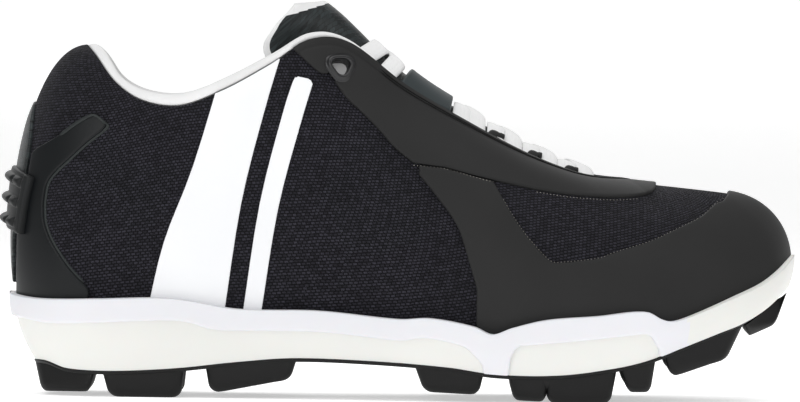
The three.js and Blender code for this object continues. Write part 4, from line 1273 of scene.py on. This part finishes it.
def lug_mesh(lug, side, soft=3 * MM):
    """A lug with rounded corners and a rounded tip, from inside the plate to the ground."""
    def corners(start, end, draw):
        def y_at(at, inner):
            x = at * LENGTH
            edge = plate_edge(x, side)
            if not inner:
                return edge - side * draw
            far = plate_edge(x, -side) if lug.middle else LUG_REACH * edge
            return far + side * draw
        return np.array([
            (at * LENGTH, y_at(at, inner)) for at, inner in ((start, 0), (end, 0), (end, 1), (start, 1))
        ])

    def rounded(box, radius):
        points = []
        for i in range(4):
            corner, back, ahead = box[i], box[i - 1], box[(i + 1) % 4]
            to_back, to_ahead = unit(back - corner), unit(ahead - corner)
            for step in range(CORNER_STEPS + 1):
                t = step / CORNER_STEPS
                a, b = corner + to_back * radius, corner + to_ahead * radius
                points.append((1 - t) ** 2 * a + 2 * t * (1 - t) * corner + t * t * b)
        return np.array(points)

    root_box = corners(lug.root_from, lug.root_to, 0.0)
    tip_box = corners(lug.tip_from, lug.tip_to, LUG_DRAFT)
    root, tip = rounded(root_box, 3.2 * MM), rounded(tip_box, 3.4 * MM)
    root_z = underside(root[:, 0]) - GAP - 0.2 * MM
    tip_share = (tip[:, 0] / LENGTH - lug.tip_from) / (lug.tip_to - lug.tip_from)
    tip_z = LUG_HEIGHT * (lug.rear + (lug.front - lug.rear) * tip_share)
    centre = tip.mean(0)
    way = tip - root
    inward = unit(centre - tip)
    begin = 1 - soft / (root_z - tip_z)
    rows = []
    for t in np.linspace(0, 1, 6):
        rows.append(np.column_stack([
            root + way * (begin * t)[:, None], root_z + (tip_z - root_z) * begin * t,
        ]))
    for step in range(1, 7):
        turn = math.pi / 2 * step / 6
        drop = soft * math.sin(turn)
        rows.append(np.column_stack([
            root + way * (begin + (1 - begin) * math.sin(turn))[:, None]
            + inward * soft * (1 - math.cos(turn)),
            tip_z + soft - drop,
        ]))
    for share in (0.35, 0.7):
        row = rows[11].copy()
        row += (row.mean(0) - row) * share
        rows.append(row)
    rows = np.array(rows)
    count = rows.shape[1]
    faces = [tuple(quad) for quad in grid_faces(len(rows), count, True)]
    faces.append(tuple((len(rows) - 1) * count + np.arange(count)))
    if side < 0 or lug.middle:
        faces = [face_[::-1] for face_ in faces]
    return rows.reshape(-1, 3), faces, None


class CLEAT_OT_outsole(bpy.types.Operator):
    """Rubber plate with its lugs"""

    bl_idname = "cleat.outsole"
    bl_label = "Outsole"

    def execute(self, context):
        colours = context.scene.cleat_colours
        places = PLACES[::2]
        half = len(places) // 2
        soft = 0.6 * MM
        lines = [plate_outline(-0.5 * MM, 1.5 * MM, places), plate_outline(GAP, 0.4 * MM, places)]
        for drop, inset in ((soft, 0), (PLATE - soft, 0.3), (PLATE - 0.25 * soft, 0.6), (PLATE, 1.2)):
            lines.append(plate_outline(GAP + drop, inset * MM, places))
        plate = np.array(lines)
        parts = [(plate, [quad[::-1] for quad in grid_faces(len(lines), len(places), True)], None)]
        left = plate[-1][: half + 1]
        right = plate[-1][-np.arange(half + 1) % len(places)]
        span = np.linspace(0, 1, 25)[:, None, None]
        sheet = left[None] * (1 - span) + right[None] * span
        parts.append((sheet, grid_faces(25, half + 1)[:, ::-1], None))
        for lug in LUGS:
            for side in ((-1,) if lug.middle else (-1, 1)):
                parts.append(lug_mesh(lug, side))
        parts += [lug_mesh(LUG_WEB, side) for side in (-1, 1)]
        piece = make_object("outsole_rubber", *joined(parts))
        finish_piece(
            piece,
            [material_of("rubber", moulded_rubber, "Moulded outsole rubber", colours.rubber)],
            ["outsole"],
        )
        return {"FINISHED"}


class CLEAT_OT_insole(bpy.types.Operator):
    """Sockliner on the footbed"""

    bl_idname = "cleat.insole"
    bl_label = "Insole"

    def execute(self, context):
        colours = context.scene.cleat_colours
        places = PLACES[::2]
        half = len(places) // 2
        out = outward(places)
        foot = on_curve(FOOT, places)
        rows = []
        for inset, rise in ((0.6, 0), (0, 0.4), (0, 2.6), (0.4, 3.2), (1.2, 3.5)):
            row = foot - out * (WALL + 2 * GAP + inset * MM)
            row[:, 2] += rise * MM * INSOLE / (3.5 * MM)
            rows.append(row)
        rows = np.array(rows)
        top = rows[-1]
        span = np.linspace(0, 1, 25)[:, None, None]
        sheet = top[: half + 1][None] * (1 - span) + top[-np.arange(half + 1) % len(places)][None] * span
        parts = [
            (rows, grid_faces(len(rows), len(places), True), None),
            (sheet, grid_faces(25, half + 1), sheet[..., [0, 1]]),
        ]
        piece = make_object("sockliner", *joined(parts))
        finish_piece(
            piece,
            [material_of("sock", brushed_knit, "Knitted sockliner", linear("#2A2B2E"))], ["insole"],
        )
        return {"FINISHED"}


# Collar, tongue and laces


def lining_sections(places):
    """Closed sections of the collar's padded lining, one for each place."""
    thin = step_up(np.abs(places), 5, 8.2)
    pad = COLLAR_PAD + (PIPING_PAD - COLLAR_PAD) * thin
    lip = COLLAR_LIP + (PIPING_LIP - COLLAR_LIP) * thin
    Row = namedtuple("Row", "up past wall foot padding")
    rows = [
        Row(0.64, 0, -WALL - GAP, -WALL - GAP - LINING_HEM, 0),
        Row(0.82, 0, -WALL - GAP, -WALL - GAP, 0.9),
        Row(1, 0, -WALL - GAP, -WALL - GAP, 1),
        Row(1, 0.12, -GAP, -WALL - GAP, 1),
        Row(1, 0.6, 0.0, -WALL, 0.85),
        Row(1, 1, -0.6 * WALL, -WALL, 0.3),
    ]
    nudge = 0.02

    def normal_at(up):
        level = min(max(up, nudge), 1 - nudge)
        across = face(places + nudge, level) - face(places - nudge, level)
        upward = face(places, level + nudge) - face(places, level - nudge)
        return unit(np.cross(across, upward))

    rise = unit(face(places, 1) - face(places, 1 - nudge))
    wall, foot = [], []
    for row in rows:
        base = face(places, row.up) + rise * (row.past * lip)[:, None]
        wall.append(base + normal_at(row.up) * row.wall)
        foot.append(base + normal_at(row.up) * (row.foot - row.padding * pad)[:, None])
    return np.array(wall + foot[::-1])


class CLEAT_OT_lining(bpy.types.Operator):
    """Padded collar lining that runs on as a piping down the throat"""

    bl_idname = "cleat.lining"
    bl_label = "Collar lining"

    def execute(self, context):
        colours = context.scene.cleat_colours
        places = np.linspace(-9, 9, 18 * 14 + 1)
        sections = lining_sections(places)
        count = len(sections)
        rows = on_curve(sections, np.arange(0, count, 0.25))
        surface = Surface(rows, wrap=False)
        faces = [tuple(quad) for quad in grid_faces(len(rows), len(places), False, True)]
        for column in (0, len(places) - 1):
            ring = np.arange(len(rows)) * len(places) + column
            faces.append(tuple(ring if column == 0 else ring[::-1]))
        piece = make_object("collar_lining_pad", rows.reshape(-1, 3), faces, surface.lengths.reshape(-1, 2))
        finish_piece(
            piece,
            [material_of("knit", brushed_knit, "Brushed knit lining", colours.lining)],
            ["collar_lining"],
        )
        return {"FINISHED"}


TONGUE_LINE = np.array([
    (row.at * LENGTH, row.mid * BALL_WIDTH, HEEL_STACK + row.up * INSTEP_HEIGHT) for row in TONGUE_ROWS
])
TONGUE_SPREAD = np.array([
    (row.sweep * BALL_WIDTH, row.half * BALL_WIDTH, row.droop * BALL_WIDTH) for row in TONGUE_ROWS
])
TONGUE_STEPS = len(TONGUE_ROWS) - 1


def tongue_face(a, b):
    """The tongue's outer face: a from its front end (0) to its top (1), b across from -1 to 1."""
    a, b = np.broadcast_arrays(np.asarray(a, float), np.asarray(b, float))
    middle = on_curve(TONGUE_LINE, a * TONGUE_STEPS, closed=False)
    spread = on_curve(TONGUE_SPREAD, a * TONGUE_STEPS, closed=False)
    way = np.stack([-spread[..., 0] * b * b, spread[..., 1] * b, -spread[..., 2] * b * b], -1)
    return middle + way


def tongue_skin(a, b, offset):
    """Points over the tongue's outer face, raised by an offset."""
    a, b, offset = np.broadcast_arrays(
        np.asarray(a, float), np.asarray(b, float), np.asarray(offset, float),
    )
    step = 0.01
    way = tongue_face(np.minimum(a + step, 1), b) - tongue_face(np.maximum(a - step, 0), b)
    side = tongue_face(a, b + step) - tongue_face(a, b - step)
    return tongue_face(a, b) + unit(np.cross(side, way)) * offset[..., None]


def tongue_place(at):
    """Place on the tongue where its middle line passes a share of the length."""
    a = np.linspace(0, 1, 801)
    x = tongue_face(a, np.zeros(801))[:, 0]
    return float(np.interp(-at * LENGTH, -x, a))


def padded_sheet(point_at, a, b, thick, soft):
    """A closed sheet with rounded edges: its face, then its back, as one run of columns."""
    edge_a = np.minimum(a, 1 - a)
    fill = np.minimum(rounding(edge_a / soft[0])[:, None], rounding((1 - np.abs(b)) / soft[1])[None, :])
    middle = -thick / 2
    front = point_at(a[:, None], b[None, :], middle + thick / 2 * fill)
    back = point_at(a[:, None], b[None, :], middle - thick / 2 * fill)
    return np.concatenate([front, back[:, ::-1]], axis=1)


class CLEAT_OT_tongue(bpy.types.Operator):
    """Padded tongue with a twill face and a knit back"""

    bl_idname = "cleat.tongue"
    bl_label = "Tongue"

    def execute(self, context):
        colours, sizes = context.scene.cleat_colours, context.scene.cleat_sizes
        a = 0.5 - 0.5 * np.cos(np.linspace(0, np.pi, 121))
        b = np.sin(np.linspace(-np.pi / 2, np.pi / 2, 49))
        thick = TONGUE * (0.55 + 0.45 * a[:, None]) * (1 - 0.6 * b[None, :] ** 4)
        rows = padded_sheet(tongue_skin, a, b, thick, (0.03, 0.12))
        surface = Surface(rows, wrap=False)
        count = rows.shape[1]
        faces = grid_faces(len(rows), count, True)
        piece = make_object(
            "tongue_pad", rows.reshape(-1, 3), faces[:, ::-1], surface.lengths.reshape(-1, 2),
        )
        finish_piece(
            piece,
            [
                material_of("twill", coated_twill, "Coated twill", colours.twill, sizes),
                material_of("knit", brushed_knit, "Brushed knit lining", colours.lining),
            ],
            ["tongue"],
        )
        row, column = faces[:, 0] // count, faces[:, 0] % count
        back = column >= len(b) - 1
        side = np.abs(b[np.minimum(column, len(b) - 1)])
        # the knit rolls over the edge at the top and the sides
        rolled = (a[row] > 0.955 - 0.03 * side**2) | ((side > 0.975) & (a[row] > 0.62))
        piece.data.polygons.foreach_set("material_index", (back | rolled).astype(np.int32))
        return {"FINISHED"}


def ribbon(middle, across, up, width, thick, crown=0.25):
    """A flat closed band along points, with rounded edges: across and up are its directions."""
    turn = np.linspace(0, 2 * np.pi, 17)[:-1]
    reach = np.sign(np.cos(turn)) * np.abs(np.cos(turn)) ** 0.7
    lift = np.sign(np.sin(turn)) * np.abs(np.sin(turn)) ** 0.8
    section = (
        across[:, None] * (reach * width / 2)[None, :, None]
        + up[:, None] * (lift * thick / 2 * (1 + crown * (1 - reach**2)))[None, :, None]
    )
    rows = middle[:, None] + section
    way = np.concatenate([[0], np.cumsum(np.linalg.norm(np.diff(middle, axis=0), axis=1))])
    round_ = np.arange(len(turn)) / len(turn) * 2 * width
    lengths = np.stack(np.broadcast_arrays(way[:, None], round_[None, :]), -1)
    count = len(turn)
    faces = [tuple(quad) for quad in grid_faces(len(rows), count, True)]
    faces += [tuple(range(count))[::-1], tuple((len(rows) - 1) * count + np.arange(count))]
    return rows, faces, lengths


def laid_ribbon(middle, ahead, width, thick):
    """A ribbon along points on the tongue, lying flat beside the direction ahead."""
    way = unit(np.gradient(middle, axis=0))
    up = unit(np.cross(way, ahead))
    return ribbon(middle, unit(np.cross(up, way)), up, width, thick)


def lace_band(start, end, reach, hump, width, far):
    """One lace over the tongue from the eyelet of one side to that of the other."""
    b = np.linspace(-far, far, 65)
    turn = step_up(b, -0.15 * reach, reach)
    a = start + (end - start) * turn
    lift = hump * LACE * 0.8 * (1 - turn) * turn * 4
    lift -= 1.6 * MM * step_up(np.abs(b), reach, reach + 0.22)
    middle = tongue_skin(a, b, 2 * GAP + LACE / 2 + lift)
    ahead = unit(tongue_skin(a + 0.01, b, 2 * GAP + lift) - tongue_skin(a - 0.01, b, 2 * GAP + lift))
    return laid_ribbon(middle, ahead, width, LACE)


def webbing_loop(at, side):
    """A small loop of webbing that stands up between two lace crossings beside the throat."""
    place = tongue_place(at)
    turn = np.linspace(0, 1, 13)
    b = side * (0.86 - 0.4 * np.sin(np.pi / 2 * turn))
    rise = LACE * (0.4 + 1.3 * np.sin(np.pi * np.minimum(turn, 0.8)))
    middle = tongue_skin(place - 0.03 * turn**2, b, GAP + rise)
    ahead = unit(tongue_skin(place + 0.01, b, GAP + rise) - tongue_skin(place - 0.01, b, GAP + rise))
    return laid_ribbon(middle, ahead, LOOP_WIDTH, LOOP_THICK)


def lace_tail(reach, side):
    """The lace inside the upper, from the top crossing up to the back of the grommet."""
    start = tongue_skin(tongue_place(CROSSINGS[-1].front), side * (reach + 0.1), -0.2 * MM)
    row, column = eyelet_place(side)
    up = SKIN.normals[row, column]
    hole = SKIN.points[row, column] - up * (WALL + 1.4 * MM)
    hole[[0, 2]] = EYELET_CENTRE[0] + 0.8 * MM, EYELET_CENTRE[1] - 2.8 * MM
    line = np.array([
        start, start * 0.6 + hole * 0.4 - up * 2 * MM, start * 0.2 + hole * 0.8 - up * MM, hole,
    ])
    middle = on_curve(line, np.linspace(0, 3, 25), closed=False)
    way = unit(np.gradient(middle, axis=0))
    across = unit(np.cross(up, way))
    return ribbon(middle, across, unit(np.cross(way, across)), 4 * MM, LACE)


class CLEAT_OT_laces(bpy.types.Operator):
    """Flat lace crossings over the tongue and the slab that they run under"""

    bl_idname = "cleat.laces"
    bl_label = "Laces"

    def execute(self, context):
        colours, sizes = context.scene.cleat_colours, context.scene.cleat_sizes
        braid = material_of(
            "lace", brushed_knit, "Braided polyester lace", colours.lace, pitch=1.3, depth=0.2 * MM,
        )
        for number, crossing in enumerate(CROSSINGS, 1):
            start, end = tongue_place(crossing.front), tongue_place(crossing.rear)
            far = min(crossing.reach + 0.26, 0.92)
            parts = [
                lace_band(start, end, crossing.reach, 1, sizes.lace_width, far),
                lace_band(end, start, crossing.reach, 0, sizes.lace_width, far),
            ]
            if number == len(CROSSINGS):
                parts += [lace_tail(crossing.reach, side) for side in (-1, 1)]
            piece = make_object(f"lace_{number}", *joined(parts))
            finish_piece(piece, [braid], [f"lace_crossing_{number}"])
        loops = [webbing_loop(at, side) for at in LOOPS for side in (-1, 1)]
        piece = make_object("lace_loops", *joined(loops))
        finish_piece(
            piece,
            [material_of("loop", smooth_synthetic, "Nylon webbing", colours.overlay, 0.7)],
        )
        a = 0.5 - 0.5 * np.cos(np.linspace(0, np.pi, 41))
        b = np.sin(np.linspace(-np.pi / 2, np.pi / 2, 61))
        low, high = tongue_place(0.5625), tongue_place(0.507)

        def keeper_at(a, b, offset):
            return tongue_skin(low + (high - low) * a, 0.54 * b, GAP + KEEPER + offset)

        rows = padded_sheet(keeper_at, a, b, np.full((41, 61), KEEPER), (0.05, 0.06))
        surface = Surface(rows, wrap=False)
        piece = make_object(
            "keeper_slab", rows.reshape(-1, 3), grid_faces(41, rows.shape[1], True)[:, ::-1],
            surface.lengths.reshape(-1, 2),
        )
        finish_piece(
            piece,
            [material_of("keeper", smooth_synthetic, "Embossed polyurethane", colours.keeper, 0.5)],
            ["lace_keeper"],
        )
        return {"FINISHED"}


class CLEAT_OT_grommets(bpy.types.Operator):
    """Moulded grommets of the top eyelets"""

    bl_idname = "cleat.grommets"
    bl_label = "Grommets"

    def execute(self, context):
        plastic = material_of("grommet", gloss_plastic, "Moulded acetal", linear("#151517"))
        turn = np.linspace(0, 2 * np.pi, 73)[:-1]
        profile = [
            (EYELET - 0.2 * MM, -WALL - 2.2 * MM), (EYELET - 0.2 * MM, 1.6 * MM),
            (EYELET, 2.4 * MM), (EYELET + 0.5 * MM, 2.8 * MM), (EYELET + 1.1 * MM, 2.7 * MM),
            (EYELET + 1.5 * MM, 2.1 * MM), (EYELET + 1.9 * MM, 1.65 * MM),
            (EYELET + 2.3 * MM, 1.6 * MM), (EYELET + GROMMET_RIM, 1.1 * MM),
        ]
        for side, sign in (("lateral", -1), ("medial", 1)):
            row, column = eyelet_place(sign)
            up = SKIN.normals[row, column]
            centre = SKIN.points[row, column].copy()
            centre[[0, 2]] = EYELET_CENTRE
            along_x = unit(np.array([1, 0, 0]) - up * up[0])
            along_z = unit(np.cross(along_x, up)) * (1 if sign > 0 else -1)
            if along_z[2] < 0:
                along_z = -along_z
            rows = np.array([
                centre + up * height
                + along_x * (radius * eyelet_turn(turn) * np.cos(turn))[:, None]
                + along_z * (radius * eyelet_turn(turn) * np.sin(turn))[:, None]
                for radius, height in profile
            ])
            faces = grid_faces(len(rows), len(turn), True)
            if sign > 0:
                faces = faces[:, ::-1]
            piece = make_object(f"top_grommet_{side}", rows.reshape(-1, 3), faces)
            finish_piece(piece, [plastic], [f"grommet_{side}"])
        return {"FINISHED"}


# Stitches and edgings


def shell_tree():
    """Search tree of the upper and its overlays, to lay stitches on them."""
    points, faces = [], []
    names = ["upper_cloth", "toe_guard", "throat_stay", "back_strip"]
    names += [f"heel_counter_{side}_overlay" for side in ("lateral", "medial")]
    names += [f"film_{kind}_{side}" for kind in ("panel", "bar") for side in ("lateral", "medial")]
    for name in names:
        mesh = bpy.data.objects[name].data
        first = len(points)
        points.extend(vertex.co[:] for vertex in mesh.vertices)
        faces.extend(tuple(first + i for i in polygon.vertices) for polygon in mesh.polygons)
    return BVHTree.FromPolygons(points, faces)


BESIDE = 90 * MM  # how far out the rays start that lay a line on the shell


def laid_on(tree, line, side, step):
    """Points a step apart along a side-view line laid on the shell, with the shell's directions."""
    way = np.concatenate([[0], np.cumsum(np.linalg.norm(np.diff(line, axis=0), axis=1))])
    places = np.arange(step / 2, way[-1], step)
    x, z = np.interp(places, way, line[:, 0]), np.interp(places, way, line[:, 1])
    points, normals = [], []
    for px, pz in zip(x, z):
        start = Vector((px + SHIFT[0], side * BESIDE + SHIFT[1], pz))
        hit, normal = tree.ray_cast(start, Vector((0, -side, 0)))[:2]
        if hit is None or abs(hit.y - start.y) > BESIDE:
            continue
        if normal.y * side < 0:
            normal = -normal
        points.append(np.array(hit) - SHIFT)
        normals.append(np.array(normal))
    return np.array(points), np.array(normals)


def stitches(points, normals, length, radius):
    """Small round-ended threads along points, half sunk into the cloth."""
    way = unit(np.gradient(points, axis=0))
    across = unit(np.cross(way, normals))
    turn = np.linspace(0, 2 * np.pi, 7)[:-1]
    parts = []
    shares = np.array([-1, -0.75, 0, 0.75, 1])
    swell = np.array([0.15, 0.8, 1.0, 0.8, 0.15])
    for point, ahead, side, normal in zip(points, way, across, normals):
        rows = [
            point + ahead * share * length / 2
            + (side * np.cos(turn)[:, None] + normal * np.sin(turn)[:, None]) * radius * fat
            for share, fat in zip(shares, swell)
        ]
        faces = [tuple(quad) for quad in grid_faces(5, 6, True)]
        parts.append((np.array(rows), faces, None))
    return parts


def bead(points, normals, radius, flat=0.6):
    """A raised round edging along points."""
    way = unit(np.gradient(points, axis=0))
    across = unit(np.cross(way, normals))
    turn = np.linspace(0, 2 * np.pi, 11)[:-1]
    ends = np.minimum(np.arange(len(points)), np.arange(len(points))[::-1])
    fat = radius * np.clip(0.3 + 0.35 * ends, 0, 1)
    rows = (
        points[:, None]
        + across[:, None] * (np.cos(turn)[None, :] * fat[:, None])[..., None]
        + normals[:, None] * (np.sin(turn)[None, :] * flat * fat[:, None])[..., None]
    )
    faces = [tuple(quad) for quad in grid_faces(len(rows), len(turn), True)]
    return rows, faces, None


class CLEAT_OT_stitching(bpy.types.Operator):
    """Rows of stitches along the seams and the raised edge of the heel overlay"""

    bl_idname = "cleat.stitching"
    bl_label = "Stitching"

    def execute(self, context):
        colours, sizes = context.scene.cleat_colours, context.scene.cleat_sizes
        tree = shell_tree()
        step, length = sizes.stitch_step, sizes.stitch
        pale, dark, edging_highlight = [], [], []
        counter_edge = smooth_line(spots(COUNTER, HEEL_HEIGHT), 80)[8:-2]
        for side in (-1, 1):
            for line in (
                smooth_line(spots(SEAM), 20) + (0, 0.1 * MM),
                smooth_line(spots(VAMP[:-1]), 60) + (0, 0.3 * MM),
                smooth_line(spots(EYESTAY_FRONT[:-2]), 24) - (0, 0.3 * MM),
            ):
                points, normals = laid_on(tree, line, side, 0.5 * step)
                if len(points) > 3:
                    pale += stitches(points, normals, 0.3 * length, 0.13 * MM)
            points, normals = laid_on(tree, counter_edge, side, 0.8 * MM)
            if len(points) > 3:
                edging_highlight.append(bead(points, normals, 0.75 * MM))
        skin = SKIN.raised(np.full(SKIN.points.shape[:2], OVERLAY))
        for side in (-1, 1):
            columns = np.arange(int(8.6 * PER_RIB), int((THROAT + 0.25) * PER_RIB))
            columns = columns if side < 0 else COLUMNS - columns
            for from_edge in CORDS:
                line = []
                for column in columns:
                    lengths = SKIN.lengths[:, column, 1]
                    level = np.interp(lengths[-1] - from_edge, lengths, np.arange(len(lengths)))
                    low, share = int(level), level % 1
                    line.append(skin[low, column] * (1 - share) + skin[low + 1, column] * share)
                line = np.array(line)
                normals = SKIN.normals[-8, columns]
                dark.append(bead(line + normals * 0.1 * MM, normals, 0.3 * MM))
        piece = make_object("throat_piping", *joined(dark))
        finish_piece(
            piece,
            [material_of("dark", smooth_synthetic, "Black binding cord", linear("#060606"), 0.7)],
        )
        piece = make_object("seam_threads", *joined(pale))
        thread = material_of("thread", brushed_knit, "Polyester thread", linear("#8F8B83"))
        finish_piece(piece, [thread])
        # the raised rim is real; its colour, paler than the counter's, is a painted highlight along it
        piece = make_object("counter_edging", *joined(edging_highlight))
        finish_piece(
            piece,
            [material_of("edging_highlight", smooth_synthetic, "Folded synthetic edge", colours.edging_highlight, 0.45)],
        )
        return {"FINISHED"}


# Stage

K = 0.3576 * MM  # one pixel of the photograph, on the shoe
PICTURE = (800, 402)
PICTURE_MIDDLE = (0.0005, 0.0707)  # along the shoe and up
LENS = 450.0
SENSOR = 36.0
ROLL = 0.67  # degrees, toe lower in the picture
CAMERA_HEIGHT = 1.2  # degrees over the floor's level
SWEEP_SPAN = 14.0  # half the width of the paper sweep in metres, past every camera's place
SWEEP_BEND = 2.0  # radius of its bend up to the wall, in metres


class CLEAT_OT_stage(bpy.types.Operator):
    """Camera, pale floor and soft studio light"""

    bl_idname = "cleat.stage"
    bl_label = "Stage"

    def execute(self, context):
        scene = context.scene
        data = bpy.data.cameras.new("camera")
        data.lens, data.sensor_width = LENS, SENSOR
        data.clip_start, data.clip_end = 0.01, 60
        camera = bpy.data.objects.new("camera", data)
        scene.collection.objects.link(camera)
        distance = PICTURE[0] * K * LENS / SENSOR
        tilt = math.radians(CAMERA_HEIGHT)
        aim = Vector((PICTURE_MIDDLE[0], -0.012, PICTURE_MIDDLE[1]))
        camera.location = aim + Vector((0, -math.cos(tilt), math.sin(tilt))) * distance
        turn = (aim - camera.location).to_track_quat("-Z", "Y").to_matrix().to_4x4()
        camera.matrix_world = (
            Matrix.Translation(camera.location) @ turn @ Matrix.Rotation(math.radians(ROLL), 4, "Z")
        )
        scene.camera = camera
        scene.view_settings.view_transform = "Standard"

        span, bend, steps = SWEEP_SPAN, SWEEP_BEND, 16
        profile = [(-span, 0), (span - bend, 0)]
        for i in range(1, steps + 1):
            angle = math.pi / 2 * i / steps
            profile.append((span - bend + bend * math.sin(angle), bend * (1 - math.cos(angle))))
        profile.append((span, span))
        points = [(side * span, y, z) for y, z in profile for side in (-1, 1)]
        faces = [(2 * i, 2 * i + 1, 2 * i + 3, 2 * i + 2) for i in range(len(profile) - 1)]
        mesh = bpy.data.meshes.new("floor")
        mesh.from_pydata(points, [], faces)
        mesh.shade_smooth()
        floor = bpy.data.objects.new("floor", mesh)
        scene.collection.objects.link(floor)
        paper, tree, shader = new_material(
            "Matt paper sweep", Roughness=0.95, IOR=1.45, Specular_IOR_Level=0.1,
            Emission_Color=(1, 1, 1, 1), Emission_Strength=0.5,
        )
        speckled(tree, shader, linear("#F6F6F6"), 0.99, 1.01, 0.8)
        floor.data.materials.append(paper)

        world = bpy.data.worlds.new("studio")
        scene.world = world
        world.use_nodes = True
        background = world.node_tree.nodes["Background"]
        background.inputs["Color"].default_value = (1, 1, 1, 1)
        background.inputs["Strength"].default_value = 0.36

        for name, place, size, power in (
            ("over", (0.0, -0.35, 1.5), (1.6, 1.2), 11),
            ("front", (-0.7, -1.6, 0.9), (1.2, 1.0), 10),
            ("toe", (1.3, -0.6, 0.8), (0.8, 0.8), 3),
            ("behind", (-0.3, 1.3, 1.1), (1.6, 0.9), 5),
        ):
            lamp = bpy.data.lights.new(name, "AREA")
            lamp.shape, lamp.size, lamp.size_y, lamp.energy = "RECTANGLE", *size, power
            light = bpy.data.objects.new(name, lamp)
            light.location = place
            light.rotation_euler = (aim - light.location).to_track_quat("-Z", "Y").to_euler()
            scene.collection.objects.link(light)
        return {"FINISHED"}


OPERATORS = (
    CLEAT_OT_stage, CLEAT_OT_upper, CLEAT_OT_overlays, CLEAT_OT_quarter_panels,
    CLEAT_OT_heel_ribs, CLEAT_OT_midsole, CLEAT_OT_outsole, CLEAT_OT_insole, CLEAT_OT_lining,
    CLEAT_OT_tongue, CLEAT_OT_laces, CLEAT_OT_grommets, CLEAT_OT_stitching,
)


class CLEAT_PT_pieces(bpy.types.Panel):
    """Sizes, colours and pieces of the cleat"""

    bl_label = "Softball cleat"
    bl_idname = "CLEAT_PT_pieces"
    bl_space_type = "VIEW_3D"
    bl_region_type = "UI"
    bl_category = "Cleat"

    def draw(self, context):
        for group in (context.scene.cleat_sizes, context.scene.cleat_colours):
            for name in group.__annotations__:
                self.layout.prop(group, name)
        for operator in OPERATORS:
            self.layout.operator(operator.bl_idname)


CLASSES = (CleatColours, CleatSizes, *OPERATORS, CLEAT_PT_pieces)


def register():
    for one in CLASSES:
        bpy.utils.register_class(one)
    bpy.types.Scene.cleat_colours = PointerProperty(type=CleatColours)
    bpy.types.Scene.cleat_sizes = PointerProperty(type=CleatSizes)


def unregister():
    del bpy.types.Scene.cleat_sizes
    del bpy.types.Scene.cleat_colours
    for one in reversed(CLASSES):
        bpy.utils.unregister_class(one)


def main():
    register()
    for operator in OPERATORS:
        group, name = operator.bl_idname.split(".")
        getattr(getattr(bpy.ops, group), name)()


if __name__ == "__main__":
    main()
